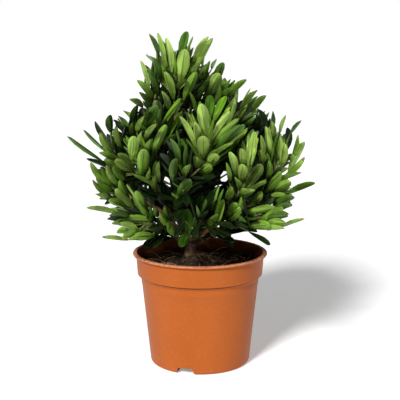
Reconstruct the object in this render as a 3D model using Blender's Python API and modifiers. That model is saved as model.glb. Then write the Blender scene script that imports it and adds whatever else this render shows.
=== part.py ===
"""A young podocarpus in a plastic nursery pot.

The origin is the centre of the pot's flat underside. The picture's viewer stands on
the -Y side, +X is on their right and +Z is up. All sizes are in metres and all
angles in degrees. Azimuths count from +X round to +Y.
"""

import math
import random
from collections import namedtuple

import bmesh
import bpy
from mathutils import Matrix, Vector, noise

# Pot
POT_HEIGHT = 0.1002
LIP_RADIUS = 0.0600
LIP_HEIGHT = 0.0022
COLLAR_TOP_RADIUS = 0.0573
COLLAR_FOOT_RADIUS = 0.0559
COLLAR_FOOT_HEIGHT = 0.0804
COLLAR_STEP = 0.0030
COLLAR_EDGE = 0.0008
BODY_TOP_RADIUS = 0.0526
FOOT_RADIUS = 0.0447
FOOT_ROUND = 0.0024
FLOOR_SLOPE_HEIGHT = 0.0040
FLOOR_SLOPE_WIDTH = 0.0025
POT_WALL = 0.0013
POT_SIDES = 36
TURN_WELD = 0.00001

# Drain notches, each the mouth of a raised channel under the floor
NOTCH_COUNT = 3
NOTCH_AZIMUTH = 253
NOTCH_WIDTH = 0.0185
NOTCH_TOP_WIDTH = 0.0125
NOTCH_HEIGHT = 0.0053
CHANNEL_INNER_RADIUS = 0.0260
CUTTER_DROP = 0.0020

# Soil, a plug that rests on the raised channels and is heaped round the trunk
SOIL_EDGE_HEIGHT = 0.0862
MOUND_HEIGHT = 0.0105
MOUND_RADIUS = 0.0300
LEVEL_PATCH_RADIUS = 0.0090
LUMP_HEIGHT = 0.0011
LUMPS_PER_METRE = 110
SOIL_SIDES = 28
SOIL_RINGS = 6
CLEARANCE = 0.0003

# Trunk
TRUNK_FOOT = Vector((-0.0090, 0.0, 0.0))
TRUNK_TIP = Vector((-0.0205, 0.0, 0.2240))
TRUNK_SWAY = 0.0035
TRUNK_SWAY_AWAY = 0.0021
TRUNK_FOOT_RADIUS = 0.0037
TRUNK_TIP_RADIUS = 0.0015
ROOT_FLARE = 0.0022
ROOT_FLARE_HEIGHT = 0.0070
TRUNK_RINGS = 12
TRUNK_RING_CROWDING = 1.35
TRUNK_SIDES = 10

# Boughs
BOUGH_ROOT_RADIUS = 0.0023
BOUGH_TIP_RADIUS = 0.0015
BOUGH_RINGS = 5
BOUGH_SIDES = 6
BOUGH_START_SHARE = 0.4
BOUGH_START_LIFT = 20
BOUGH_PULL = 0.42
BOUGH_ROOT_SHARE = 0.8
LIMB_CLEARANCE = 0.0009
LIMB_WELD = 0.000002

# Foliage
LEAF_LENGTH = 0.0360
LEAF_WIDTH = 0.0118
LEAF_THICKNESS = 0.0010
LEAF_SINK = 0.0002
LEAF_WIDEST = 0.64
LEAF_START = 0.08
LEAF_SPREAD_FOOT = 70
LEAF_SPREAD_TIP = 16
LEAF_RISE = 0.30
LEAF_ROOM = 0.0023
LEAF_TURN_PLAY = 14
LEAF_SPREAD_PLAY = 8
LEAF_SIZE_PLAY = (0.9, 1.08)
LEAF_LENGTH_AT_ENDS = 0.86
LEAF_LENGTH_SWELL = 0.26
LEAF_SAMPLES = (0.15, 0.3, 0.45, 0.6, 0.8, 1.0)
LEAF_ROOT_POINTS = 3
CROWN_FLOOR = 0.108
LEAF_TRIES = 6
GOLDEN_ANGLE = 137.5
TWIG_TIP_RADIUS = 0.0010
CELL_MARGIN = 0.0006
WELD = 0.0000002
SEED = 11

# Each bough leaves the trunk at one height and carries a mass whose stem goes on from
# the bough's end. The stem's tip is given by its azimuth and reach from the trunk and
# its height, and the stem rises to it at the lift.
Bough = namedtuple("Bough", "name leaves_at azimuth reach height lift")
BOUGHS = (
    Bough("low_right", 0.116, 344, 0.088, 0.159, 22),
    Bough("low_right_front", 0.105, 322, 0.076, 0.143, 22),
    Bough("low_front", 0.110, 278, 0.056, 0.142, 36),
    Bough("low_left_front", 0.106, 220, 0.071, 0.139, 18),
    Bough("low_left", 0.116, 194, 0.077, 0.159, 20),
    Bough("low_back_left", 0.112, 146, 0.074, 0.148, 20),
    Bough("low_back", 0.106, 98, 0.074, 0.144, 18),
    Bough("low_back_right", 0.113, 40, 0.077, 0.148, 18),
    Bough("mid_right", 0.131, 355, 0.085, 0.197, 66),
    Bough("mid_right_front", 0.125, 318, 0.069, 0.180, 60),
    Bough("mid_front", 0.140, 268, 0.060, 0.181, 50),
    Bough("mid_left_front", 0.128, 222, 0.054, 0.191, 60),
    Bough("mid_left", 0.143, 185, 0.074, 0.193, 36),
    Bough("mid_back_left", 0.128, 132, 0.073, 0.192, 50),
    Bough("mid_back", 0.150, 86, 0.070, 0.195, 52),
    Bough("mid_back_right", 0.142, 34, 0.075, 0.200, 54),
    Bough("inner_right", 0.150, 332, 0.040, 0.187, 60),
    Bough("high_front", 0.158, 298, 0.054, 0.209, 66),
    Bough("high_left_front", 0.170, 236, 0.036, 0.214, 66),
    Bough("high_left", 0.164, 166, 0.052, 0.210, 54),
    Bough("high_back", 0.178, 98, 0.041, 0.236, 66),
    Bough("high_right", 0.170, 2, 0.050, 0.224, 62),
    Bough("top_left", 0.192, 174, 0.024, 0.248, 74),
    Bough("top_right", 0.190, 46, 0.023, 0.246, 74),
)
STEM_LENGTH = 0.038
LEADER_STEM = 0.038
LEADER_AZIMUTH = 0
LEADER_LIFT = 84
SIDE_TWIGS = 3
SIDE_TWIG_LENGTH = 0.020
SIDE_TWIG_SPREAD = 46
SIDE_TWIG_SPREAD_PLAY = 6
SIDE_TWIG_TURN_PLAY = 18
SIDE_TWIG_RISE = 0.25
SIDE_TWIG_FIRST = 0.30
SIDE_TWIG_STEP = 0.18
SIDE_TWIG_LENGTH_PLAY = (0.85, 1.15)
SIDE_TWIG_TIP_SHARE = 0.8
SIDE_TWIG_SAMPLES = (0.25, 0.5, 0.75, 1.0)
STEM_LEAVES = 16
TWIG_LEAVES = 8

Mass = namedtuple("Mass", "name start end")
Leaf = namedtuple("Leaf", "root along across length width")


def clear_scene():
    for thing in list(bpy.data.objects):
        bpy.data.objects.remove(thing, do_unlink=True)


def new_collection(name):
    collection = bpy.data.collections.new(name)
    bpy.context.scene.collection.children.link(collection)
    return collection


def add_object(name, mesh, collection):
    thing = bpy.data.objects.new(name, mesh)
    collection.objects.link(thing)
    return thing


def finish(name, colour, roughness):
    """A dielectric surface of one colour."""
    material = bpy.data.materials.new(name)
    material.use_nodes = True
    shader = material.node_tree.nodes["Principled BSDF"]
    shader.inputs["Base Color"].default_value = (*colour, 1.0)
    shader.inputs["Roughness"].default_value = roughness
    shader.inputs["Metallic"].default_value = 0.0
    return material


def turned(name, profile, sides, collection):
    """A closed solid turned from a profile of (radius, height)."""
    mesh = bpy.data.meshes.new(name)
    points = [(radius, 0.0, height) for radius, height in profile]
    edges = [(i, i + 1) for i in range(len(points) - 1)]
    mesh.from_pydata(points, edges, [])
    thing = add_object(name, mesh, collection)
    screw = thing.modifiers.new("Turn", "SCREW")
    screw.steps = screw.render_steps = sides
    screw.use_merge_vertices = True
    screw.merge_threshold = TURN_WELD
    return thing


def hide_cutter(thing):
    thing.hide_render = True
    thing.display_type = "WIRE"


def boolean(thing, operation, other):
    modifier = thing.modifiers.new(other.name, "BOOLEAN")
    modifier.operation = operation
    modifier.object = other


def arc(centre_radius, centre_height, size, first, last, steps):
    """Points of (radius, height) on an arc about a centre, angles from +radius."""
    points = []
    for step in range(steps + 1):
        turn = math.radians(first + (last - first) * step / steps)
        points.append((centre_radius + size * math.cos(turn), centre_height + size * math.sin(turn)))
    return points


def inner_radius(height):
    """Radius of the pot's inside at a height."""
    if height > COLLAR_FOOT_HEIGHT:
        share = (height - COLLAR_FOOT_HEIGHT) / (POT_HEIGHT - COLLAR_FOOT_HEIGHT)
        outside = COLLAR_FOOT_RADIUS + (COLLAR_TOP_RADIUS - COLLAR_FOOT_RADIUS) * share
    else:
        share = height / COLLAR_FOOT_HEIGHT
        outside = FOOT_RADIUS + (BODY_TOP_RADIUS - FOOT_RADIUS) * share
    return outside - POT_WALL


def channel_cutter(name, azimuth, grow, collection):
    """A radial bar of trapezoid section, below the floor from the middle to outside the foot."""
    half_foot = NOTCH_WIDTH / 2 + grow
    half_top = NOTCH_TOP_WIDTH / 2 + grow
    top = NOTCH_HEIGHT + grow
    section = ((-half_foot, -CUTTER_DROP), (half_foot, -CUTTER_DROP), (half_top, top), (-half_top, top))
    bm = bmesh.new()
    corners = [bm.verts.new((CHANNEL_INNER_RADIUS - grow, y, z)) for y, z in section]
    face = bm.faces.new(corners)
    pushed = bmesh.ops.extrude_face_region(bm, geom=[face])["geom"]
    moved = [item for item in pushed if isinstance(item, bmesh.types.BMVert)]
    bmesh.ops.translate(bm, verts=moved, vec=(LIP_RADIUS, 0.0, 0.0))
    bmesh.ops.recalc_face_normals(bm, faces=bm.faces)
    bm.transform(Matrix.Rotation(math.radians(azimuth), 4, "Z"))
    mesh = bpy.data.meshes.new(name)
    bm.to_mesh(mesh)
    bm.free()
    cutter = add_object(name, mesh, collection)
    hide_cutter(cutter)
    return cutter


def make_pot(parts, cutters):
    """A turned shell with a rolled lip and a collar, and raised drain channels in its floor."""
    lip_round = LIP_HEIGHT / 2
    step_foot = COLLAR_FOOT_HEIGHT - COLLAR_STEP
    outer = [(0.0, POT_HEIGHT)]
    outer += arc(LIP_RADIUS - lip_round, POT_HEIGHT - lip_round, lip_round, 90, -90, 4)
    outer += [(COLLAR_TOP_RADIUS, POT_HEIGHT - LIP_HEIGHT)]
    outer += [(COLLAR_FOOT_RADIUS, COLLAR_FOOT_HEIGHT + COLLAR_EDGE)]
    outer += [(COLLAR_FOOT_RADIUS - COLLAR_EDGE, COLLAR_FOOT_HEIGHT)]
    outer += [(BODY_TOP_RADIUS, step_foot)]
    outer += arc(FOOT_RADIUS - FOOT_ROUND, FOOT_ROUND, FOOT_ROUND, 0, -90, 3)
    outer += [(0.0, 0.0)]
    pot = turned("pot", outer, POT_SIDES, parts)

    above = POT_HEIGHT + CUTTER_DROP
    floor_edge = inner_radius(FLOOR_SLOPE_HEIGHT)
    inner = [(0.0, above), (inner_radius(POT_HEIGHT), above)]
    inner += [(inner_radius(height), height) for height in (POT_HEIGHT, COLLAR_FOOT_HEIGHT + COLLAR_EDGE)]
    inner += [(inner_radius(step_foot), step_foot), (floor_edge, FLOOR_SLOPE_HEIGHT)]
    inner += [(floor_edge - FLOOR_SLOPE_WIDTH, POT_WALL), (0.0, POT_WALL)]
    inside = turned("pot_inside", inner, POT_SIDES, cutters)
    hide_cutter(inside)
    azimuths = [NOTCH_AZIMUTH + 360 * notch / NOTCH_COUNT for notch in range(NOTCH_COUNT)]
    for azimuth in azimuths:
        roof = channel_cutter(f"channel_roof_{azimuth:.0f}", azimuth, POT_WALL, cutters)
        boolean(inside, "DIFFERENCE", roof)
    boolean(pot, "DIFFERENCE", inside)
    for azimuth in azimuths:
        boolean(pot, "DIFFERENCE", channel_cutter(f"channel_{azimuth:.0f}", azimuth, 0.0, cutters))
    pot.data.materials.append(finish("terracotta_plastic", (0.60, 0.17, 0.05), 0.42))


def soil_height(x, y):
    """Height of the soil's top: a heap round the trunk, with lumps, level at the trunk."""
    from_trunk = math.hypot(x - TRUNK_FOOT.x, y - TRUNK_FOOT.y)
    heap = MOUND_HEIGHT * math.exp(-2 * (max(0.0, from_trunk - LEVEL_PATCH_RADIUS) / MOUND_RADIUS) ** 2)
    rough = min(1.0, max(0.0, from_trunk / LEVEL_PATCH_RADIUS - 1))
    place = Vector((x * LUMPS_PER_METRE, y * LUMPS_PER_METRE, 0.0))
    return SOIL_EDGE_HEIGHT + heap + LUMP_HEIGHT * rough * noise.noise(place)


def make_soil(parts):
    """A plug inside the pot's wall, with its top heaped by soil_height."""
    bottom = NOTCH_HEIGHT + POT_WALL + CLEARANCE
    flat_share = math.cos(math.pi / POT_SIDES)
    step_foot = COLLAR_FOOT_HEIGHT - COLLAR_STEP - COLLAR_EDGE
    heights = (SOIL_EDGE_HEIGHT, step_foot, bottom)
    radii = [inner_radius(height) * flat_share - 2 * CLEARANCE for height in heights]
    profile = [(radii[0] * ring / SOIL_RINGS, SOIL_EDGE_HEIGHT) for ring in range(SOIL_RINGS + 1)]
    profile += [(radii[1], step_foot), (radii[2], bottom), (0.0, bottom)]
    soil = turned("soil", profile, SOIL_SIDES, parts)
    apply_modifiers(soil)
    for vertex in soil.data.vertices:
        if vertex.co.z > step_foot + COLLAR_EDGE:
            vertex.co.z = soil_height(vertex.co.x, vertex.co.y)
    soil.data.materials.append(finish("peat", (0.035, 0.024, 0.017), 0.95))


def apply_modifiers(thing):
    """Makes what the modifiers show the object's own mesh."""
    graph = bpy.context.evaluated_depsgraph_get()
    mesh = bpy.data.meshes.new_from_object(thing.evaluated_get(graph))
    thing.modifiers.clear()
    thing.data = mesh


def limb(name, points, radii, sides, collection):
    """A tapering limb along points, a curve with filled caps made into a mesh."""
    curve = bpy.data.curves.new(name, "CURVE")
    curve.dimensions = "3D"
    curve.bevel_depth = 1.0
    curve.bevel_resolution = sides // 2 - 2
    curve.use_fill_caps = True
    spline = curve.splines.new("POLY")
    spline.points.add(len(points) - 1)
    for knot, point, radius in zip(spline.points, points, radii):
        knot.co = (*point, 1.0)
        knot.radius = radius
    guide = add_object(name + "_guide", curve, collection)
    graph = bpy.context.evaluated_depsgraph_get()
    mesh = bpy.data.meshes.new_from_object(guide.evaluated_get(graph))
    bpy.data.objects.remove(guide, do_unlink=True)
    bm = bmesh.new()
    bm.from_mesh(mesh)
    bmesh.ops.remove_doubles(bm, verts=bm.verts, dist=LIMB_WELD)
    bmesh.ops.recalc_face_normals(bm, faces=bm.faces)
    bm.to_mesh(mesh)
    bm.free()
    return add_object(name, mesh, collection)


def outward(azimuth, lift):
    """Unit direction at an azimuth and a lift above the level, in degrees."""
    turn = math.radians(azimuth)
    rise = math.radians(lift)
    return Vector((math.cos(turn) * math.cos(rise), math.sin(turn) * math.cos(rise), math.sin(rise)))


def trunk_foot_height():
    return soil_height(TRUNK_FOOT.x, TRUNK_FOOT.y) + CLEARANCE


def trunk_at(height):
    """Centre and radius of the trunk at a height: a lean with a slight sway."""
    foot = trunk_foot_height()
    share = (height - foot) / (TRUNK_TIP.z - foot)
    centre = TRUNK_FOOT.lerp(TRUNK_TIP, share)
    centre.x += TRUNK_SWAY * math.sin(2 * math.pi * share)
    centre.y += TRUNK_SWAY_AWAY * math.sin(math.pi * share)
    centre.z = height
    radius = TRUNK_FOOT_RADIUS + (TRUNK_TIP_RADIUS - TRUNK_FOOT_RADIUS) * share
    radius += ROOT_FLARE * math.exp(-(height - foot) / ROOT_FLARE_HEIGHT)
    return centre, radius


def trunk_heights():
    """Heights of the trunk's rings, closer together near its flared foot."""
    foot = trunk_foot_height()
    shares = [(ring / TRUNK_RINGS) ** TRUNK_RING_CROWDING for ring in range(TRUNK_RINGS + 1)]
    return [foot + (TRUNK_TIP.z - foot) * share for share in shares]


def make_trunk(parts, cutters, bark):
    """The trunk, and a slightly wider copy that the boughs are cut clear with."""
    places = [trunk_at(height) for height in trunk_heights()]
    points = [centre for centre, _ in places]
    points[1] = points[0] + Vector((0.0, 0.0, points[1].z - points[0].z))
    radii = [radius for _, radius in places]
    trunk = limb("trunk", points, radii, TRUNK_SIDES, parts)
    trunk.data.materials.append(bark)
    wider = [radius + CLEARANCE for radius in radii]
    room = limb("trunk_room", points, wider, TRUNK_SIDES, cutters)
    hide_cutter(room)
    return room


def bough_end(bough):
    """Where a bough ends, just short of its mass's stem."""
    centre, _ = trunk_at(bough.leaves_at)
    tip = centre + outward(bough.azimuth, 0) * bough.reach
    tip.z = bough.height
    return tip - outward(bough.azimuth, bough.lift) * (STEM_LENGTH + CLEARANCE)


def bough_path(bough):
    """A limb that leaves the trunk sideways and bends to the lift of its mass's stem."""
    centre, trunk_radius = trunk_at(bough.leaves_at)
    start = centre + outward(bough.azimuth, 0) * trunk_radius * BOUGH_START_SHARE
    end = bough_end(bough)
    pull = (end - start).length * BOUGH_PULL
    leaves = start + outward(bough.azimuth, BOUGH_START_LIFT) * pull
    arrives = end - outward(bough.azimuth, bough.lift) * pull
    points = []
    for ring in range(BOUGH_RINGS + 1):
        t = ring / BOUGH_RINGS
        near = start * (1 - t) ** 3 + leaves * 3 * t * (1 - t) ** 2
        points.append(near + arrives * 3 * t * t * (1 - t) + end * t**3)
    return points


def bough_radii(bough):
    """Radii from root to tip: the root is never as thick as the trunk it leaves."""
    _, trunk_radius = trunk_at(bough.leaves_at)
    root = min(BOUGH_ROOT_RADIUS, trunk_radius * BOUGH_ROOT_SHARE)
    return [root + (BOUGH_TIP_RADIUS - root) * ring / BOUGH_RINGS for ring in range(BOUGH_RINGS + 1)]


def make_bough(bough, room, parts, bark):
    """A bough, cut clear of the trunk by the trunk's room."""
    thing = limb("bough_" + bough.name, bough_path(bough), bough_radii(bough), BOUGH_SIDES, parts)
    boolean(thing, "DIFFERENCE", room)
    thing.data.materials.append(bark)


def masses():
    """The stem of each mass of foliage, 0.3 mm on from the limb that carries it."""
    places = []
    for bough in BOUGHS:
        way = outward(bough.azimuth, bough.lift)
        start = bough_end(bough) + way * CLEARANCE
        places.append(Mass("foliage_" + bough.name, start, start + way * STEM_LENGTH))
    way = outward(LEADER_AZIMUTH, LEADER_LIFT)
    start = TRUNK_TIP + way * (CLEARANCE * 2)
    places.append(Mass("foliage_leader", start, start + way * LEADER_STEM))
    return places


def from_line(point, start, end):
    """Distance of a point from the line between two others."""
    line = end - start
    share = max(0.0, min(1.0, (point - start).dot(line) / line.length_squared))
    return (point - start - line * share).length


def limb_lines():
    """Every straight stretch of the trunk and boughs, with its radius."""
    lines = []
    places = [trunk_at(height) for height in trunk_heights()]
    for (start, radius), (end, _) in zip(places, places[1:]):
        lines.append((start, end, radius))
    for bough in BOUGHS:
        path = bough_path(bough)
        lines += zip(path, path[1:], bough_radii(bough))
    return lines


def keeps_to_space(points, mass, others, lines):
    """True where all points lie nearer this mass's stem than any other, clear of limbs."""
    for point in points:
        if point.z < CROWN_FLOOR:
            return False
        own = from_line(point, mass.start, mass.end)
        for other in others:
            if from_line(point, other.start, other.end) < own + CELL_MARGIN:
                return False
        for start, end, radius in lines:
            if from_line(point, start, end) < radius + LIMB_CLEARANCE:
                return False
    return True


def leaf_points(leaf):
    """Points over a leaf's blade, near enough together to feel what it would touch."""
    points = []
    for share in LEAF_SAMPLES:
        half = leaf.width / 2 * min(share / LEAF_WIDEST, (1 - share) / (1 - LEAF_WIDEST))
        for side in (-1, 0, 1):
            points.append(leaf.root + leaf.along * leaf.length * share + leaf.across * half * side)
    return points


def leaf_mesh(leaf):
    """A blade of four corners, widest past its middle, with a low ridge on both sides."""
    bm = bmesh.new()
    made = bmesh.ops.create_uvsphere(bm, u_segments=4, v_segments=2, radius=0.5)
    for vertex in made["verts"]:
        if abs(vertex.co.y) < 0.1:
            vertex.co.y = LEAF_WIDEST - 0.5
    middle = leaf.root + leaf.along * (leaf.length / 2 - LEAF_SINK)
    face = leaf.across.cross(leaf.along)
    sizes = (leaf.across * leaf.width, leaf.along * leaf.length, face * LEAF_THICKNESS)
    bm.transform(Matrix.Translation(middle) @ Matrix(sizes).transposed().to_4x4())
    bmesh.ops.recalc_face_normals(bm, faces=bm.faces)
    mesh = bpy.data.meshes.new("leaf")
    bm.to_mesh(mesh)
    bm.free()
    return mesh


def twig_mesh(start, end, radius, tip_radius):
    """A three-sided twig that tapers from its start to its end."""
    line = end - start
    bm = bmesh.new()
    bmesh.ops.create_cone(
        bm, cap_ends=True, segments=3, radius1=radius, radius2=tip_radius, depth=line.length
    )
    turn = line.to_track_quat("Z", "X").to_matrix().to_4x4()
    bm.transform(Matrix.Translation((start + end) / 2) @ turn)
    mesh = bpy.data.meshes.new("twig")
    bm.to_mesh(mesh)
    bm.free()
    return mesh


def leaf_at(start, end, share, turn, rng):
    """A leaf on a shoot: spread wide near the shoot's foot, upright near its tip."""
    line = end - start
    axis = line.normalized()
    side = axis.orthogonal().normalized()
    spin = Matrix.Rotation(math.radians(turn + rng.uniform(-LEAF_TURN_PLAY, LEAF_TURN_PLAY)), 3, axis)
    spread = LEAF_SPREAD_FOOT + (LEAF_SPREAD_TIP - LEAF_SPREAD_FOOT) * share
    spread = math.radians(spread + rng.uniform(-LEAF_SPREAD_PLAY, LEAF_SPREAD_PLAY))
    along = axis * math.cos(spread) + (spin @ side) * math.sin(spread)
    along = (along + Vector((0.0, 0.0, LEAF_RISE))).normalized()
    across = along.cross(axis).normalized()
    swell = LEAF_LENGTH_AT_ENDS + LEAF_LENGTH_SWELL * math.sin(math.pi * share)
    length = LEAF_LENGTH * swell * rng.uniform(*LEAF_SIZE_PLAY)
    width = LEAF_WIDTH * rng.uniform(*LEAF_SIZE_PLAY)
    return Leaf(start + line * (LEAF_START + (1 - LEAF_START) * share), along, across, length, width)


def clear_of(points, placed):
    """True where no point comes near a leaf that is already there, apart from their roots."""
    for point in points[LEAF_ROOT_POINTS:]:
        for other in placed:
            if (point - other).length < LEAF_ROOM:
                return False
    return True


def grow_leaves(start, end, count, rng, fits, placed):
    """Leaves in a spiral along a shoot, each tried a few times and left out if none fits."""
    leaves = []
    turn = rng.uniform(0, 360)
    for place in range(count):
        turn += GOLDEN_ANGLE
        for _ in range(LEAF_TRIES):
            leaf = leaf_at(start, end, place / (count - 1), turn, rng)
            points = leaf_points(leaf)
            if clear_of(points, placed) and fits(points):
                leaves.append(leaf)
                placed += points[LEAF_ROOT_POINTS:]
                break
    return leaves


def side_twigs(mass, rng):
    """Start and end of the twigs that branch from a mass's stem."""
    line = mass.end - mass.start
    axis = line.normalized()
    side = axis.orthogonal().normalized()
    turn = rng.uniform(0, 360)
    twigs = []
    for place in range(SIDE_TWIGS):
        turn += 360 / SIDE_TWIGS + rng.uniform(-SIDE_TWIG_TURN_PLAY, SIDE_TWIG_TURN_PLAY)
        spin = Matrix.Rotation(math.radians(turn), 3, axis)
        play = rng.uniform(-SIDE_TWIG_SPREAD_PLAY, SIDE_TWIG_SPREAD_PLAY)
        spread = math.radians(SIDE_TWIG_SPREAD + play)
        way = axis * math.cos(spread) + (spin @ side) * math.sin(spread)
        way = (way + Vector((0.0, 0.0, SIDE_TWIG_RISE))).normalized()
        root = mass.start + line * (SIDE_TWIG_FIRST + SIDE_TWIG_STEP * place)
        twigs.append((root, root + way * SIDE_TWIG_LENGTH * rng.uniform(*SIDE_TWIG_LENGTH_PLAY)))
    return twigs


def outer_shell(bm):
    """Drops loose scraps and fills sealed hollows, by keeping the largest shell of faces."""
    waiting = set(bm.faces)
    shells = []
    while waiting:
        front = [waiting.pop()]
        shell = []
        while front:
            face = front.pop()
            shell.append(face)
            for edge in face.edges:
                for neighbour in edge.link_faces:
                    if neighbour in waiting:
                        waiting.discard(neighbour)
                        front.append(neighbour)
        shells.append(shell)
    shells.sort(key=len)
    for shell in shells[:-1]:
        bmesh.ops.delete(bm, geom=shell, context="FACES")


def is_closed(bm):
    """True where every edge still has two faces once points that all but touch are one."""
    welded = bm.copy()
    bmesh.ops.triangulate(welded, faces=welded.faces)
    bmesh.ops.remove_doubles(welded, verts=welded.verts, dist=WELD)
    closed = all(len(edge.link_faces) == 2 for edge in welded.edges)
    welded.free()
    return closed


def fused(stem, pieces, solver):
    """The closed mesh of a stem with its twigs and leaves, or None where the join fails."""
    union = stem.modifiers.new("Fuse", "BOOLEAN")
    union.operation = "UNION"
    union.operand_type = "COLLECTION"
    union.collection = pieces
    union.solver = solver
    graph = bpy.context.evaluated_depsgraph_get()
    mesh = bpy.data.meshes.new_from_object(stem.evaluated_get(graph))
    stem.modifiers.remove(union)
    bm = bmesh.new()
    bm.from_mesh(mesh)
    outer_shell(bm)
    closed = is_closed(bm)
    bm.to_mesh(mesh)
    bm.free()
    return mesh if closed else None


def make_mass(index, mass, others, lines, parts, green):
    """A mass of foliage: a stem, its side twigs and their leaves joined into one solid."""
    rng = random.Random(SEED + index)
    mesh = twig_mesh(mass.start, mass.end, BOUGH_TIP_RADIUS, TWIG_TIP_RADIUS)
    stem = add_object(mass.name, mesh, parts)
    pieces = new_collection("pieces_" + mass.name)

    def fits(points):
        return keeps_to_space(points, mass, others, lines)

    placed = []
    leaves = grow_leaves(mass.start, mass.end, STEM_LEAVES, rng, fits, placed)
    for start, end in side_twigs(mass, rng):
        if fits([start.lerp(end, share) for share in SIDE_TWIG_SAMPLES]):
            thin = TWIG_TIP_RADIUS * SIDE_TWIG_TIP_SHARE
            add_object("twig", twig_mesh(start, end, TWIG_TIP_RADIUS, thin), pieces)
            leaves += grow_leaves(start, end, TWIG_LEAVES, rng, fits, placed)
    for leaf in leaves:
        add_object("leaf", leaf_mesh(leaf), pieces)
    mesh = fused(stem, pieces, "EXACT") or fused(stem, pieces, "MANIFOLD")
    while mesh is None:
        bpy.data.objects.remove(pieces.objects[-1], do_unlink=True)
        mesh = fused(stem, pieces, "MANIFOLD")
    stem.data = mesh
    for piece in list(pieces.objects):
        bpy.data.objects.remove(piece, do_unlink=True)
    bpy.data.collections.remove(pieces)
    mesh.materials.clear()
    mesh.materials.append(green)


def make_plant():
    clear_scene()
    parts = new_collection("potted_podocarpus")
    cutters = new_collection("cutters")
    bark = finish("bark", (0.14, 0.075, 0.045), 0.85)
    green = finish("leaf_green", (0.06, 0.17, 0.03), 0.45)
    make_pot(parts, cutters)
    make_soil(parts)
    room = make_trunk(parts, cutters, bark)
    for bough in BOUGHS:
        make_bough(bough, room, parts, bark)
    places = masses()
    lines = limb_lines()
    for index, mass in enumerate(places):
        others = [other for other in places if other is not mass]
        make_mass(index, mass, others, lines, parts, green)


make_plant()
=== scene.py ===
"""The looks of a young podocarpus in a plastic nursery pot.

All sizes are in metres and all angles in degrees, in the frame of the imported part: the
origin is the centre of the pot's flat underside, +X is on the viewer's right, +Y is away
from them and +Z is up. Azimuths count from +X round to +Y.
"""

import math
import random
from collections import namedtuple

import bpy
import numpy as np
from mathutils import Matrix, Vector, noise
from mathutils.bvhtree import BVHTree


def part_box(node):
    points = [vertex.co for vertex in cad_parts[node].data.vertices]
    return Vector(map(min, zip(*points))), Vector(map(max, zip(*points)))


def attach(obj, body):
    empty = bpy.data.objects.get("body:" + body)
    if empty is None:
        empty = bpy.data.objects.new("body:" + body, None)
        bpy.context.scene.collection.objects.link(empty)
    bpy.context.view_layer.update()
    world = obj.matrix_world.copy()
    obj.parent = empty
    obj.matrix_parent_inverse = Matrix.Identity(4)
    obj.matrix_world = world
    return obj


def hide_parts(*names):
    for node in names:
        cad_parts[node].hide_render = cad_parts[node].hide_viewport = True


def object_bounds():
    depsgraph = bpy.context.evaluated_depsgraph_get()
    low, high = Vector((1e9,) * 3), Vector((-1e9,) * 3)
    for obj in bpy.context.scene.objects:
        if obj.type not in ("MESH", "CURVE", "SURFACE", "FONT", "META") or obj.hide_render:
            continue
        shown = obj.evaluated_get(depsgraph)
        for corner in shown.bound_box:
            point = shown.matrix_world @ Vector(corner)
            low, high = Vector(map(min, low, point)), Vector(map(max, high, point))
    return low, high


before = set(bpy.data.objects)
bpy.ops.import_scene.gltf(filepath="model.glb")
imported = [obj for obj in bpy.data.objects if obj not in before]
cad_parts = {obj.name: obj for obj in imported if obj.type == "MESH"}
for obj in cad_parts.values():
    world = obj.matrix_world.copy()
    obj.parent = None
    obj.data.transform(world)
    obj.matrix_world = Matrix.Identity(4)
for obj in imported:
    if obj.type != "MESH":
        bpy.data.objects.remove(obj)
cad_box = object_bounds()
bpy.ops.object.select_all(action="DESELECT")


# Camera. It stands where the photograph was taken from, level across and ten degrees down,
# and the places of leaves that show in the photograph are worked out through it.
CAMERA_PLACE = Vector((0.0, -0.8141, 0.2905))
CAMERA_TILT = 79.97
CAMERA_LENS = 83.88
SENSOR = 36.0
FRAME_SIDE = 400

bpy.ops.object.camera_add(location=CAMERA_PLACE, rotation=(math.radians(CAMERA_TILT), 0, 0))
camera = bpy.context.object
camera.name = "photograph_view"
camera.data.sensor_width = SENSOR
camera.data.lens = CAMERA_LENS
camera.select_set(False)
bpy.context.scene.camera = camera
bpy.context.scene.view_settings.view_transform = "Standard"

PIXELS = CAMERA_LENS / SENSOR * FRAME_SIDE
AHEAD = Vector((0, math.sin(math.radians(CAMERA_TILT)), -math.cos(math.radians(CAMERA_TILT))))
ABOVE = Vector((0, math.cos(math.radians(CAMERA_TILT)), math.sin(math.radians(CAMERA_TILT))))


def ray_through(pixel):
    """Unit direction from the camera through a pixel of the photograph."""
    across = (pixel[0] - FRAME_SIDE / 2) / PIXELS
    down = (pixel[1] - FRAME_SIDE / 2) / PIXELS
    return (AHEAD + Vector((1, 0, 0)) * across - ABOVE * down).normalized()


def pixels_of(points):
    """Pixel across, pixel down and distance ahead of each point."""
    gaps = np.asarray(points) - np.array(CAMERA_PLACE)
    ahead = gaps @ np.array(AHEAD)
    across = FRAME_SIDE / 2 + PIXELS * gaps[:, 0] / ahead
    down = FRAME_SIDE / 2 - PIXELS * (gaps @ np.array(ABOVE)) / ahead
    return across, down, ahead


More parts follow.
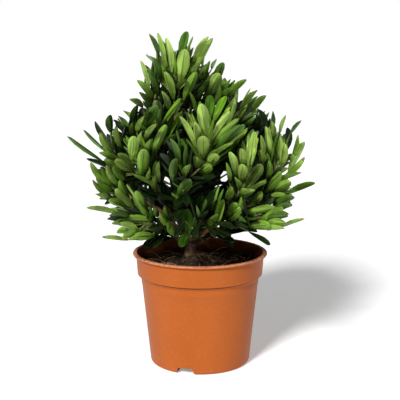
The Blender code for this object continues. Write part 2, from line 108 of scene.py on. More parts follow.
# Pot. A nursery pot, injection-moulded in satin terracotta-coloured plastic: a thin tapering
# wall under a deep collar, a rolled lip to lift it by, and three drain notches at its foot,
# each the mouth of a raised channel in the floor.
LIP_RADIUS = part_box("pot")[1].x
POT_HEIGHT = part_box("pot")[1].z
LIP_HEIGHT = 0.0022
COLLAR_TOP_RADIUS = 0.0573
COLLAR_FOOT_RADIUS = 0.0559
COLLAR_FOOT_HEIGHT = 0.0804
COLLAR_STEP = 0.0030
COLLAR_EDGE = 0.0008
FILLET = 0.0004
STACKING_LINE_HEIGHT = 0.0722
STACKING_LINE = 0.00022
BODY_TOP_RADIUS = 0.0526
BODY_RINGS = (0.02, 0.04, 0.06)
FOOT_RADIUS = 0.0447
FOOT_ROUND = 0.0024
FLOOR_SLOPE_HEIGHT = 0.0040
FLOOR_SLOPE_WIDTH = 0.0025
POT_WALL = 0.0013
POT_SIDES = 144
ROUND_STEPS = 8
POLE_RADIUS = 0.0005
NOTCH_COUNT = 3
NOTCH_AZIMUTH = 253
NOTCH_WIDTH = 0.0185
NOTCH_TOP_WIDTH = 0.0125
NOTCH_HEIGHT = 0.0053
CHANNEL_INNER_RADIUS = 0.0260
CHANNEL_OUTER_RADIUS = 0.0800
CUTTER_DROP = 0.0020
MOULDED_EDGE = 0.00030
LIP_PALE_DEPTH = 0.0016
DUST_HEIGHT = 0.010
SOIL_EDGE_HEIGHT = 0.0862
STEP_HEIGHT = COLLAR_FOOT_HEIGHT - COLLAR_STEP


def named(name):
    """The object just added, under its own name, with its place in its mesh."""
    piece = bpy.context.object
    piece.name = piece.data.name = name
    bpy.ops.object.transform_apply(location=True, rotation=True, scale=True)
    return piece


def arc(centre_radius, centre_height, size, first, last, steps):
    """Points of (radius, height) on an arc about a centre, angles from +radius."""
    points = []
    for step in range(steps + 1):
        turn = math.radians(first + (last - first) * step / steps)
        points.append((centre_radius + size * math.cos(turn), centre_height + size * math.sin(turn)))
    return points


def turned(name, profile, sides):
    """A solid of revolution: a disc extruded and resized from ring to ring of the profile."""
    radius, height = profile[0]
    bpy.ops.mesh.primitive_circle_add(
        vertices=sides, radius=radius, fill_type="NGON", location=(0, 0, height)
    )
    piece = named(name)
    bpy.ops.object.mode_set(mode="EDIT")
    bpy.ops.mesh.select_all(action="SELECT")
    for next_radius, next_height in profile[1:]:
        rise = (0, 0, next_height - height)
        bpy.ops.mesh.extrude_region_move(TRANSFORM_OT_translate={"value": rise})
        scale = next_radius / radius
        bpy.ops.transform.resize(value=(scale, scale, 1), center_override=(0, 0, next_height))
        radius, height = next_radius, next_height
    bpy.ops.mesh.select_all(action="SELECT")
    bpy.ops.mesh.normals_make_consistent(inside=False)
    bpy.ops.object.mode_set(mode="OBJECT")
    piece.select_set(False)
    return piece


def cut(piece, cutter):
    """Takes the cutter's shape out of the piece, and the cutter away."""
    bpy.context.view_layer.objects.active = piece
    modifier = piece.modifiers.new("Cut", "BOOLEAN")
    modifier.object = cutter
    modifier.solver = "EXACT"
    bpy.ops.object.modifier_apply(modifier=modifier.name)
    bpy.data.objects.remove(cutter, do_unlink=True)


def channel(name, azimuth, grow):
    """A radial bar under the floor, narrower at its top."""
    length = CHANNEL_OUTER_RADIUS - CHANNEL_INNER_RADIUS + grow
    height = NOTCH_HEIGHT + grow + CUTTER_DROP
    middle = (CHANNEL_INNER_RADIUS - grow + length / 2, 0, height / 2 - CUTTER_DROP)
    width = NOTCH_WIDTH + 2 * grow
    bpy.ops.mesh.primitive_cube_add(size=1, location=middle, scale=(length, width, height))
    bar = named(name)
    bpy.ops.object.mode_set(mode="EDIT")
    bpy.ops.mesh.select_all(action="DESELECT")
    bpy.ops.object.mode_set(mode="OBJECT")
    for face in bar.data.polygons:
        face.select = face.normal.z > 0.9
    bpy.ops.object.mode_set(mode="EDIT")
    narrow = (NOTCH_TOP_WIDTH + 2 * grow) / width
    bpy.ops.transform.resize(value=(1, narrow, 1))
    bpy.ops.object.mode_set(mode="OBJECT")
    bar.data.transform(Matrix.Rotation(math.radians(azimuth), 4, "Z"))
    bar.select_set(False)
    return bar


def inner_radius(height):
    """Radius of the pot's inside at a height."""
    if height > COLLAR_FOOT_HEIGHT:
        share = (height - COLLAR_FOOT_HEIGHT) / (POT_HEIGHT - COLLAR_FOOT_HEIGHT)
        return COLLAR_FOOT_RADIUS + (COLLAR_TOP_RADIUS - COLLAR_FOOT_RADIUS) * share - POT_WALL
    share = height / COLLAR_FOOT_HEIGHT
    return FOOT_RADIUS + (BODY_TOP_RADIUS - FOOT_RADIUS) * share - POT_WALL


def outer_radius(height):
    """Radius of the pot's body, under its collar, at a height."""
    share = (height - FOOT_ROUND) / (STEP_HEIGHT - FOOT_ROUND)
    return FOOT_RADIUS + (BODY_TOP_RADIUS - FOOT_RADIUS) * share


lip_round = LIP_HEIGHT / 2
outside = [(POLE_RADIUS, 0.0)]
outside += arc(FOOT_RADIUS - FOOT_ROUND, FOOT_ROUND, FOOT_ROUND, -90, 0, ROUND_STEPS)
outside += [(outer_radius(height), height) for height in BODY_RINGS]
line = STACKING_LINE_HEIGHT
outside += [(outer_radius(line - 3 * STACKING_LINE), line - 3 * STACKING_LINE)]
outside += [(outer_radius(line) + STACKING_LINE, line)]
outside += [(outer_radius(line + STACKING_LINE) + STACKING_LINE, line + STACKING_LINE)]
outside += [(outer_radius(STEP_HEIGHT) + FILLET * 0.3, STEP_HEIGHT - COLLAR_EDGE)]
outside += [(BODY_TOP_RADIUS, STEP_HEIGHT - FILLET / 2), (BODY_TOP_RADIUS + FILLET, STEP_HEIGHT + FILLET)]
outside += [(COLLAR_FOOT_RADIUS - COLLAR_EDGE - FILLET, COLLAR_FOOT_HEIGHT - FILLET * 0.75)]
edge_radius = COLLAR_FOOT_RADIUS - COLLAR_EDGE
outside += arc(edge_radius, COLLAR_FOOT_HEIGHT + COLLAR_EDGE, COLLAR_EDGE, -70, 0, ROUND_STEPS // 2)
outside += [(COLLAR_TOP_RADIUS - FILLET / 2, POT_HEIGHT - LIP_HEIGHT - FILLET)]
outside += [(COLLAR_TOP_RADIUS + FILLET * 0.75, POT_HEIGHT - LIP_HEIGHT)]
outside += arc(LIP_RADIUS - lip_round, POT_HEIGHT - lip_round, lip_round, -80, 90, ROUND_STEPS)
outside += [(POLE_RADIUS, POT_HEIGHT)]
pot = turned("nursery_pot", outside, POT_SIDES)

floor_edge = inner_radius(FLOOR_SLOPE_HEIGHT)
hollow = [(POLE_RADIUS, POT_WALL), (floor_edge - FLOOR_SLOPE_WIDTH, POT_WALL)]
hollow += [(floor_edge, FLOOR_SLOPE_HEIGHT), (inner_radius(STEP_HEIGHT), STEP_HEIGHT)]
hollow += [(inner_radius(COLLAR_FOOT_HEIGHT + COLLAR_EDGE), COLLAR_FOOT_HEIGHT + COLLAR_EDGE)]
mouth = inner_radius(POT_HEIGHT)
hollow += [(mouth, POT_HEIGHT - lip_round), (mouth + lip_round * 0.4, POT_HEIGHT - lip_round * 0.25)]
above_lip = POT_HEIGHT + CUTTER_DROP
hollow += [(mouth + lip_round * 1.2, above_lip), (POLE_RADIUS, above_lip)]
inside = turned("pot_inside", hollow, POT_SIDES)
notch_azimuths = [NOTCH_AZIMUTH + 360 * notch / NOTCH_COUNT for notch in range(NOTCH_COUNT)]
for azimuth in notch_azimuths:
    cut(inside, channel("channel_roof", azimuth, POT_WALL))
cut(pot, inside)
for azimuth in notch_azimuths:
    cut(pot, channel("channel", azimuth, 0.0))


def smoothed(piece, sharpest):
    """Shades a piece smooth, apart from edges sharper than an angle."""
    bpy.ops.object.select_all(action="DESELECT")
    piece.select_set(True)
    bpy.context.view_layer.objects.active = piece
    bpy.ops.object.shade_smooth_by_angle(angle=math.radians(sharpest))
    piece.select_set(False)


def softened(piece, width, sharpest):
    """Rounds the edges that are sharper than an angle."""
    bpy.context.view_layer.objects.active = piece
    bevel = piece.modifiers.new("Soften", "BEVEL")
    bevel.width = width
    bevel.segments = 2
    bevel.limit_method = "ANGLE"
    bevel.angle_limit = math.radians(sharpest)
    bpy.ops.object.modifier_apply(modifier=bevel.name)


softened(pot, MOULDED_EDGE, 50)
smoothed(pot, 40)


class Flow:
    """An output of a material's nodes. Arithmetic on it adds Math nodes."""

    def __init__(self, socket):
        self.socket = socket

    def feed(self, target):
        self.socket.id_data.links.new(self.socket, target)

    def math(self, operation, *values):
        node = self.socket.id_data.nodes.new("ShaderNodeMath")
        node.operation = operation
        for target, value in zip(node.inputs, values):
            give(target, value)
        return Flow(node.outputs[0])

    def __add__(self, other):
        return self.math("ADD", self, other)

    __radd__ = __add__

    def __sub__(self, other):
        return self.math("SUBTRACT", self, other)

    def __rsub__(self, other):
        return self.math("SUBTRACT", other, self)

    def __mul__(self, other):
        return self.math("MULTIPLY", self, other)

    def __truediv__(self, other):
        return self.math("DIVIDE", self, other)

    def __pow__(self, other):
        return self.math("POWER", self, other)

    def rises(self, low, high):
        """0 below low, 1 above high and an even slope between."""
        slope = (self - low) / (high - low)
        return slope.math("MINIMUM", slope.math("MAXIMUM", slope, 0.0), 1.0)


def give(target, value):
    """Sets a socket to a value, or links it to a flow."""
    if isinstance(value, Flow):
        value.feed(target)
    else:
        target.default_value = value


class Finish:
    """A material in the making: one shader, with its even settings given by name."""

    def __init__(self, name, **even):
        self.material = bpy.data.materials.new(name)
        self.material.use_nodes = True
        self.tree = self.material.node_tree
        self.shader = self.tree.nodes["Principled BSDF"]
        self.show(**even)
        self.place = self.node("ShaderNodeTexCoord", output="Object")

    def node(self, kind, settings=(), sockets=(), output=0):
        """Any node, with its settings made first and its sockets given values or flows."""
        node = self.tree.nodes.new(kind)
        for setting, value in dict(settings).items():
            setattr(node, setting, value)
        for name, value in dict(sockets).items():
            give(node.inputs[name], value)
        return Flow(node.outputs[output])

    def grain(self, scale, detail=2.0, place=None, **sockets):
        """Noise of about even spread round a half, at so many lumps a metre."""
        sockets = {name.title(): value for name, value in sockets.items()}
        sockets |= {"Vector": place or self.place, "Scale": scale, "Detail": detail}
        return self.node("ShaderNodeTexNoise", {}, sockets, "Fac")

    def mix(self, share, first, second):
        """The first colour going over to the second as the share goes from 0 to 1."""
        sockets = {0: share, 6: first, 7: second}
        return self.node("ShaderNodeMix", {"data_type": "RGBA"}, sockets, 2)

    def across(self, scales, place=None):
        """The place with each of its axes scaled."""
        settings = {"operation": "MULTIPLY"}
        return self.node("ShaderNodeVectorMath", settings, {0: place or self.place, 1: scales})

    def axes(self):
        """The three numbers of the place."""
        node = self.tree.nodes.new("ShaderNodeSeparateXYZ")
        give(node.inputs[0], self.place)
        return [Flow(output) for output in node.outputs]

    def relief(self, height, depth, strength=1.0, under=None):
        """A bump from a height of 0 to 1 that stands for a depth in metres."""
        sockets = {"Height": height, "Distance": depth, "Strength": strength}
        if under is not None:
            sockets["Normal"] = under
        return self.node("ShaderNodeBump", {}, sockets, "Normal")

    def show(self, **varying):
        """Sets or feeds the shader's sockets by name."""
        sockets = {target.name.lower().replace(" ", "_"): target for target in self.shader.inputs}
        for setting, value in varying.items():
            give(sockets[setting], value)
        return self.material


def tint(red, green, blue):
    """A colour as a screen shows it, 0 to 255, as the light that it reflects."""
    light = []
    for part in (red, green, blue):
        part /= 255
        light.append(part / 12.92 if part <= 0.04045 else ((part + 0.055) / 1.055) ** 2.4)
    return (*light, 1.0)


def pot_plastic():
    """Satin plastic: faint flow clouds, a lip paler at its top in streaks, and inside painted shade going
    over to soil stains towards the soil.
    """
    plastic = Finish("pot_plastic", specular_ior_level=0.12)
    across, away, height = plastic.axes()
    radius = (across * across + away * away) ** 0.5
    clouds = plastic.grain(26.0, 3.0, plastic.across((1.0, 1.0, 0.45)))
    flecks = plastic.grain(900.0, 2.0)
    colour = plastic.mix(clouds.rises(0.3, 0.7), tint(153, 77, 27), tint(164, 85, 33))
    colour = plastic.mix(flecks.rises(0.60, 0.78) * 0.22, colour, tint(232, 146, 96))
    # The lip is paler at its top, in streaks.
    lip_streaks = plastic.grain(260.0, 4.0, plastic.across((1.0, 1.0, 3.0)))
    lip = height.rises(POT_HEIGHT - LIP_PALE_DEPTH, POT_HEIGHT - 0.0003) * lip_streaks.rises(0.30, 0.62)
    colour = plastic.mix(lip * 0.7, colour, tint(214, 158, 130))
    stains = plastic.grain(70.0, 5.0)
    body_slope = (BODY_TOP_RADIUS - FOOT_RADIUS) / COLLAR_FOOT_HEIGHT
    body_middle = height * body_slope + (FOOT_RADIUS - POT_WALL / 2)
    collar_slope = (COLLAR_TOP_RADIUS - COLLAR_FOOT_RADIUS) / (POT_HEIGHT - COLLAR_FOOT_HEIGHT)
    collar_middle = (height - COLLAR_FOOT_HEIGHT) * collar_slope + (COLLAR_FOOT_RADIUS - POT_WALL * 0.6)
    in_collar = height.rises(STEP_HEIGHT, COLLAR_FOOT_HEIGHT)
    middle = body_middle + (collar_middle - body_middle) * in_collar
    inner = 1.0 - (radius - middle).rises(0.0, 0.0002)
    above_floor = height.rises(0.0006, 0.0010)
    towards_soil = 1.0 - (height + (stains - 0.5) * 0.016).rises(SOIL_EDGE_HEIGHT + 0.001, POT_HEIGHT - 0.0005)
    dirt = plastic.mix(stains.rises(0.35, 0.65), tint(16, 9, 5), tint(44, 21, 10))
    # Painted shade: the inside wall is darkened to a dull brown near the lip, going over to dark soil stains
    # and darker still towards the soil.
    shade = plastic.mix(towards_soil, tint(66, 28, 11), dirt)
    colour = plastic.mix(inner * above_floor * (0.55 + towards_soil * 0.45), colour, shade)
    dust = plastic.grain(420.0, 3.0)
    low_dust = (1.0 - height.rises(0.001, DUST_HEIGHT)) * dust.rises(0.48, 0.66)
    colour = plastic.mix(low_dust * 0.25, colour, tint(150, 92, 60))
    rough = 0.40 + clouds * 0.10 + inner * above_floor * 0.35
    fine = plastic.relief(plastic.grain(1500.0, 2.0), 0.00003, 0.5)
    waves = plastic.relief(plastic.grain(45.0, 1.0, plastic.across((1.0, 1.0, 0.3))), 0.0003, 0.35, fine)
    return plastic.show(base_color=colour, roughness=rough, normal=waves)


pot.data.materials.clear()
pot.data.materials.append(pot_plastic())
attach(pot, "root")
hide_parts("pot")


# Soil. Dark, damp peat up to the collar, crumbled over its top, with the plug the plant was
# grown in standing out of it as a mound round the trunk, held together by fibrous roots.
MOUND_HEIGHT = 0.0105
MOUND_RADIUS = 0.0300
LEVEL_PATCH_RADIUS = 0.0090
LUMP_HEIGHT = 0.0011
LUMPS_PER_METRE = 110
CLOD_HEIGHT = 0.0012
CLODS_PER_METRE = 230
PIT_DEPTH = 0.0016
PITS_PER_METRE = 150
SOIL_SIDES = 150
SOIL_RINGS = 62
CLEARANCE = 0.0003
TRUNK_FOOT = Vector((-0.0090, 0.0, 0.0))
TRUNK_ROOM = 0.0045
EDGE_SHARE = 0.97
CLOD_COUNT = 260
CLOD_SIZES = (0.0016, 0.0042)
CRUMB_COUNT = 1500
CRUMB_SIZES = (0.0006, 0.0016)
CLOD_SPREAD = 0.5
FIBRE_COUNT = 300
FIBRE_LENGTHS = (0.006, 0.020)
FIBRE_RADII = (0.00014, 0.00040)
FIBRE_CURL = 110
FIBRE_STEPS = 7
FIBRE_SIDES = 5
SHARE_ON_MOUND = 0.55
MOUND_SPREAD = 1.1
SHARE_RAISED = 0.18
GRIT_COUNT = 46
GRIT_SIZES = (0.0006, 0.0017)
GRIT_SPREAD = 0.55
SOIL_SEED = 5


def soil_height(x, y):
    """Height of the soil's top by the source's rule: a heap round the trunk, with lumps."""
    from_trunk = math.hypot(x - TRUNK_FOOT.x, y - TRUNK_FOOT.y)
    heap = MOUND_HEIGHT * math.exp(-2 * (max(0.0, from_trunk - LEVEL_PATCH_RADIUS) / MOUND_RADIUS) ** 2)
    rough = min(1.0, max(0.0, from_trunk / LEVEL_PATCH_RADIUS - 1))
    place = Vector((x * LUMPS_PER_METRE, y * LUMPS_PER_METRE, 0.0))
    return SOIL_EDGE_HEIGHT + heap + LUMP_HEIGHT * rough * noise.noise(place)


def crumbled_height(x, y):
    """The soil's top with its crumbs and pits."""
    from_trunk = math.hypot(x - TRUNK_FOOT.x, y - TRUNK_FOOT.y)
    place = Vector((x, y, 0.0))
    crumbs = noise.fractal(place * CLODS_PER_METRE, 0.9, 2.1, 4) * CLOD_HEIGHT
    elsewhere = Vector((9.0, 4.0, 2.0))
    pits = -PIT_DEPTH * max(0.0, noise.noise(place * PITS_PER_METRE + elsewhere) - 0.12)
    quiet = min(1.0, from_trunk / LEVEL_PATCH_RADIUS)
    return soil_height(x, y) + (crumbs + pits) * quiet


def lying(rng, spread):
    """A place on the soil's top, the nearer to the pot's middle the larger the spread."""
    while True:
        reach = SOIL_RADIUS * EDGE_SHARE * rng.random() ** spread
        turn = rng.uniform(0, 2 * math.pi)
        x = reach * math.cos(turn)
        y = reach * math.sin(turn)
        if math.hypot(x - TRUNK_FOOT.x, y) > TRUNK_ROOM:
            return Vector((x, y, crumbled_height(x, y)))


def joined(name, pieces, finishes, marks=None):
    """One mesh from many small shapes, each its points, its triangles and its finish's place."""
    points = []
    triangles = []
    worn = []
    count = 0
    for places, faces, slot in pieces:
        points.append(np.asarray(places))
        triangles.append(np.asarray(faces) + count)
        worn.append(np.broadcast_to(slot, len(faces)))
        count += len(places)
    mesh = bpy.data.meshes.new(name)
    mesh.from_pydata(np.concatenate(points).tolist(), [], np.concatenate(triangles).tolist())
    for finish in finishes:
        mesh.materials.append(finish)
    mesh.polygons.foreach_set("material_index", np.concatenate(worn).astype(np.int32))
    if marks is not None:
        corners = np.empty(len(mesh.loops), np.int32)
        mesh.loops.foreach_get("vertex_index", corners)
        layer = mesh.uv_layers.new(name="blade")
        layer.data.foreach_set("uv", np.concatenate(marks)[corners].astype(np.float32).ravel())
    piece = bpy.data.objects.new(name, mesh)
    bpy.context.scene.collection.objects.link(piece)
    return piece


def shape_of(piece):
    """The points and triangles of a model that is copied many times, which then goes."""
    mesh = piece.data
    mesh.calc_loop_triangles()
    points = np.array([vertex.co for vertex in mesh.vertices])
    triangles = np.array([list(face.vertices) for face in mesh.loop_triangles])
    bpy.data.objects.remove(piece, do_unlink=True)
    return points, triangles


def tube(path, radii, sides, relief=None):
    """Points and triangles of a closed tapering tube along a path of points."""
    path = np.asarray(path, float)
    ways = np.gradient(path, axis=0)
    ways /= np.linalg.norm(ways, axis=1, keepdims=True)
    side = np.cross(ways[0], (0.31, 0.87, 0.39))
    turns = np.arange(sides) * 2 * math.pi / sides
    rings = []
    for place, (centre, way) in enumerate(zip(path, ways)):
        side = side - way * side.dot(way)
        side /= np.linalg.norm(side)
        other = np.cross(way, side)
        radius = np.full(sides, radii[place])
        if relief is not None:
            radius = relief(place, turns, radius, centre)
        out = np.cos(turns)[:, None] * side + np.sin(turns)[:, None] * other
        rings.append(centre + out * radius[:, None])
    points = np.concatenate([*rings, path[:1], path[-1:]])
    triangles = []
    for place in range(len(path) - 1):
        for corner in range(sides):
            a = place * sides + corner
            b = place * sides + (corner + 1) % sides
            triangles += [(a, b, b + sides), (a, b + sides, a + sides)]
    last = (len(path) - 1) * sides
    for corner in range(sides):
        after = (corner + 1) % sides
        triangles.append((len(points) - 2, after, corner))
        triangles.append((len(points) - 1, last + corner, last + after))
    return points, np.array(triangles)


soil_bottom = NOTCH_HEIGHT + POT_WALL + CLEARANCE
edge_foot = STEP_HEIGHT - COLLAR_EDGE
SOIL_RADIUS = inner_radius(SOIL_EDGE_HEIGHT) - 2 * CLEARANCE
plug = [(2 * POLE_RADIUS, soil_bottom), (inner_radius(soil_bottom) - 2 * CLEARANCE, soil_bottom)]
plug += [(inner_radius(edge_foot) - 2 * CLEARANCE, edge_foot)]
for ring in range(SOIL_RINGS):
    plug.append((SOIL_RADIUS * (1 - ring / SOIL_RINGS), SOIL_EDGE_HEIGHT))
soil = turned("potting_soil", plug, SOIL_SIDES)
for vertex in soil.data.vertices:
    if vertex.co.z > edge_foot + COLLAR_EDGE:
        vertex.co.z = crumbled_height(vertex.co.x, vertex.co.y)
smoothed(soil, 60)


def peat(name, dark, pale):
    """Damp peat: near black, with paler fibres and crumbs, and no shine to speak of."""
    earth = Finish(name, specular_ior_level=0.25)
    crumbs = earth.grain(420.0, 6.0, roughness=0.65)
    strands = earth.grain(340.0, 3.0, earth.across((1.0, 0.25, 1.0)))
    colour = earth.mix(crumbs.rises(0.34, 0.68), dark, pale)
    colour = earth.mix(strands.rises(0.60, 0.70) * 0.5, colour, tint(84, 62, 40))
    rough = 0.72 + crumbs * 0.25
    bumps = earth.relief(earth.grain(900.0, 5.0, roughness=0.7), 0.0007, 0.9)
    return earth.show(base_color=colour, roughness=rough, normal=bumps)


soil.data.materials.clear()
soil.data.materials.append(peat("damp_peat", tint(14, 10, 7), tint(46, 34, 24)))
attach(soil, "root")
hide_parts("soil")

rng = random.Random(SOIL_SEED)
bpy.ops.mesh.primitive_ico_sphere_add(subdivisions=2, radius=0.5)
clod_model = shape_of(named("clod"))
bpy.ops.mesh.primitive_ico_sphere_add(subdivisions=1, radius=0.5)
crumb_model = shape_of(named("crumb"))


def lumpy(points, swelling, lumps, shift):
    """The points of a ball, pushed in and out by noise."""
    swollen = [1 + swelling * noise.noise(Vector(point) * lumps + shift) for point in points]
    return points * np.array(swollen)[:, None]


clods = []
for clod in range(CLOD_COUNT + CRUMB_COUNT):
    large = clod < CLOD_COUNT
    points, triangles = clod_model if large else crumb_model
    size = rng.uniform(*(CLOD_SIZES if large else CRUMB_SIZES))
    seat = lying(rng, CLOD_SPREAD)
    stretch = np.array([rng.uniform(0.7, 1.3), rng.uniform(0.7, 1.2), rng.uniform(0.5, 0.8)])
    spin = Matrix.Rotation(rng.uniform(0, 6.28), 3, "Z")
    tilt = Matrix.Rotation(rng.uniform(-0.5, 0.5), 3, "X")
    shape = (lumpy(points, 0.55, 2.3, seat * 900) * stretch * size) @ np.array(spin @ tilt).T
    clods.append((shape + np.array(seat), triangles, clod % 3 == 0))
crumb_finishes = [
    peat("dark_crumbs", tint(18, 13, 8), tint(58, 43, 28)),
    peat("brown_crumbs", tint(36, 25, 14), tint(100, 74, 46)),
]
soil_clods = joined("soil_clods", clods, crumb_finishes)
smoothed(soil_clods, 50)
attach(soil_clods, "root")


def fibre_finish(name, dark, pale):
    """Dry root fibre or bark shred, mottled by fine noise."""
    fibre = Finish(name, specular_ior_level=0.3)
    streaks = fibre.grain(600.0, 3.0)
    colour = fibre.mix(streaks.rises(0.35, 0.65), dark, pale)
    return fibre.show(base_color=colour, roughness=0.7 + streaks * 0.2)


def strand_path(seat, length, heading, curl, lift):
    """A curling line that lies on the soil, or rises from it where it has a lift."""
    spot = Vector(seat)
    stretch = length / FIBRE_STEPS
    farthest = SOIL_RADIUS * (EDGE_SHARE - 0.01)
    path = []
    for step in range(FIBRE_STEPS + 1):
        share = step / FIBRE_STEPS
        if lift:
            height = seat.z - 0.0005 + lift * length * 0.6 * math.sin(share * math.pi * 0.6)
        else:
            height = crumbled_height(spot.x, spot.y) + 0.0003 + 0.0007 * math.sin(share * math.pi)
        path.append((spot.x, spot.y, height))
        turn = math.radians(heading + curl * share)
        spot = spot + Vector((math.cos(turn), math.sin(turn), 0)) * stretch
        reach = math.hypot(spot.x, spot.y)
        if reach > farthest:
            spot *= farthest / reach
    return path


fibres = []
for strand in range(FIBRE_COUNT):
    on_mound = strand < FIBRE_COUNT * SHARE_ON_MOUND
    seat = lying(rng, MOUND_SPREAD if on_mound else CLOD_SPREAD)
    length = rng.uniform(*FIBRE_LENGTHS)
    heading = rng.uniform(0, 360)
    curl = rng.uniform(-FIBRE_CURL, FIBRE_CURL)
    lift = rng.uniform(0.0, 0.9) if rng.random() < SHARE_RAISED else 0.0
    path = strand_path(seat, length, heading, curl, lift)
    thick = rng.uniform(*FIBRE_RADII) * (1.6 if strand % 9 == 0 else 1.0)
    radii = [thick * (1 - 0.55 * step / FIBRE_STEPS) for step in range(FIBRE_STEPS + 1)]
    fibres.append((*tube(path, radii, FIBRE_SIDES), strand % 3))
fibre_finishes = [
    fibre_finish("dark_fibre", tint(48, 34, 22), tint(84, 62, 42)),
    fibre_finish("tan_fibre", tint(128, 100, 62), tint(184, 152, 106)),
    fibre_finish("brown_fibre", tint(72, 48, 30), tint(116, 82, 54)),
]
soil_fibres = joined("root_fibres", fibres, fibre_finishes)
smoothed(soil_fibres, 60)
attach(soil_fibres, "root")

grit = []
for _ in range(GRIT_COUNT):
    size = rng.uniform(*GRIT_SIZES)
    seat = lying(rng, GRIT_SPREAD)
    points, triangles = clod_model
    grit.append((lumpy(points, 0.4, 3, seat * 700) * size + np.array(seat), triangles, 0))
stone = Finish("pale_grit", specular_ior_level=0.3)
grains = stone.grain(1500.0, 3.0)
stone_colour = stone.mix(grains.rises(0.35, 0.65), tint(120, 112, 98), tint(196, 190, 176))
stone.show(base_color=stone_colour, roughness=0.6 + grains * 0.3)
pale_specks = joined("pale_grit", grit, [stone.material])
smoothed(pale_specks, 50)
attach(pale_specks, "root")


# Trunk and boughs. Slender young wood, each bough one tapering limb from the trunk. The bark
# is thin and brown, cracked lengthwise into shreds, with the raised scars of fallen leaves,
# and goes over to green on the youngest wood.
TRUNK_TIP = Vector((-0.0205, 0.0, 0.2240))
TRUNK_SWAY = 0.0035
TRUNK_FOOT_RADIUS = 0.0037
TRUNK_TIP_RADIUS = 0.0015
ROOT_FLARE = 0.0022
ROOT_FLARE_HEIGHT = 0.0070
TRUNK_RINGS = 190
TRUNK_SIDES = 30
TRUNK_SUNK = 0.0015
TRUNK_CRACKS = 0.00045
BOUGH_ROOT_RADIUS = 0.0023
BOUGH_TIP_RADIUS = 0.0015
BOUGH_RINGS = 60
BOUGH_SIDES = 14
BOUGH_CRACKS = 0.0003
BOUGH_START_SHARE = 0.4
BOUGH_START_LIFT = 20
BOUGH_PULL = 0.42
STEM_LENGTH = 0.038
LEADER_AZIMUTH = 0
LEADER_LIFT = 84
LEADER_STEM = 0.038

# Each bough leaves the trunk at one height and carries a mass of foliage whose stem goes on
# from its end. The stem's tip is given by its azimuth and reach from the trunk and its
# height, and the stem rises to it at the lift. The tone is that of its sprays.
Bough = namedtuple("Bough", "name leaves_at azimuth reach height lift tone")
BOUGHS = (
    Bough("low_right", 0.116, 344, 0.088, 0.159, 22, "fresh"),
    Bough("low_right_front", 0.105, 322, 0.076, 0.143, 22, "mature"),
    Bough("low_front", 0.110, 278, 0.056, 0.142, 36, "deep"),
    Bough("low_left_front", 0.106, 220, 0.071, 0.139, 18, "fresh"),
    Bough("low_left", 0.116, 194, 0.077, 0.159, 20, "mature"),
    Bough("low_back_left", 0.112, 146, 0.074, 0.148, 20, "deep"),
    Bough("low_back", 0.106, 98, 0.074, 0.144, 18, "mature"),
    Bough("low_back_right", 0.113, 40, 0.077, 0.148, 18, "deep"),
    Bough("mid_right", 0.131, 355, 0.085, 0.197, 66, "young"),
    Bough("mid_right_front", 0.125, 318, 0.069, 0.180, 60, "young"),
    Bough("mid_front", 0.140, 268, 0.060, 0.181, 50, "deep"),
    Bough("mid_left_front", 0.128, 222, 0.054, 0.191, 60, "fresh"),
    Bough("mid_left", 0.143, 185, 0.074, 0.193, 36, "mature"),
    Bough("mid_back_left", 0.128, 132, 0.073, 0.192, 50, "fresh"),
    Bough("mid_back", 0.150, 86, 0.070, 0.195, 52, "young"),
    Bough("mid_back_right", 0.142, 34, 0.075, 0.200, 54, "mature"),
    Bough("inner_right", 0.150, 332, 0.040, 0.187, 60, "mature"),
    Bough("high_front", 0.158, 298, 0.054, 0.209, 66, "young"),
    Bough("high_left_front", 0.170, 236, 0.036, 0.214, 66, "mature"),
    Bough("high_left", 0.164, 166, 0.052, 0.210, 54, "mature"),
    Bough("high_back", 0.178, 98, 0.041, 0.236, 66, "fresh"),
    Bough("high_right", 0.170, 2, 0.050, 0.224, 62, "mature"),
    Bough("top_left", 0.192, 174, 0.024, 0.248, 74, "fresh"),
    Bough("top_right", 0.190, 46, 0.023, 0.246, 74, "fresh"),
)
LEADER_TONE = "fresh"


def outward(azimuth, lift):
    """Unit direction at an azimuth and a lift above the level."""
    turn = math.radians(azimuth)
    rise = math.radians(lift)
    return Vector((math.cos(turn) * math.cos(rise), math.sin(turn) * math.cos(rise), math.sin(rise)))


TRUNK_FOOT_HEIGHT = soil_height(TRUNK_FOOT.x, TRUNK_FOOT.y) + CLEARANCE


def trunk_at(height):
    """Centre and radius of the trunk at a height: a lean with a slight sway."""
    share = (height - TRUNK_FOOT_HEIGHT) / (TRUNK_TIP.z - TRUNK_FOOT_HEIGHT)
    centre = TRUNK_FOOT.lerp(TRUNK_TIP, share)
    centre.x += TRUNK_SWAY * math.sin(2 * math.pi * share)
    centre.y += TRUNK_SWAY * 0.6 * math.sin(math.pi * share)
    centre.z = height
    radius = TRUNK_FOOT_RADIUS + (TRUNK_TIP_RADIUS - TRUNK_FOOT_RADIUS) * share
    radius += ROOT_FLARE * math.exp(-(height - TRUNK_FOOT_HEIGHT) / ROOT_FLARE_HEIGHT)
    return centre, radius


def bough_end(bough):
    centre, _ = trunk_at(bough.leaves_at)
    tip = centre + outward(bough.azimuth, 0) * bough.reach
    tip.z = bough.height
    return tip - outward(bough.azimuth, bough.lift) * (STEM_LENGTH + CLEARANCE)


def bough_path(bough, rings):
    """A limb that leaves the trunk sideways and bends to the lift of its mass's stem."""
    centre, trunk_radius = trunk_at(bough.leaves_at)
    start = centre + outward(bough.azimuth, 0) * trunk_radius * BOUGH_START_SHARE
    end = bough_end(bough)
    pull = (end - start).length * BOUGH_PULL
    leaves = start + outward(bough.azimuth, BOUGH_START_LIFT) * pull
    arrives = end - outward(bough.azimuth, bough.lift) * pull
    points = []
    for ring in range(rings + 1):
        t = ring / rings
        near = start * (1 - t) ** 3 + leaves * 3 * t * (1 - t) ** 2
        points.append(near + arrives * 3 * t * t * (1 - t) + end * t**3)
    return points


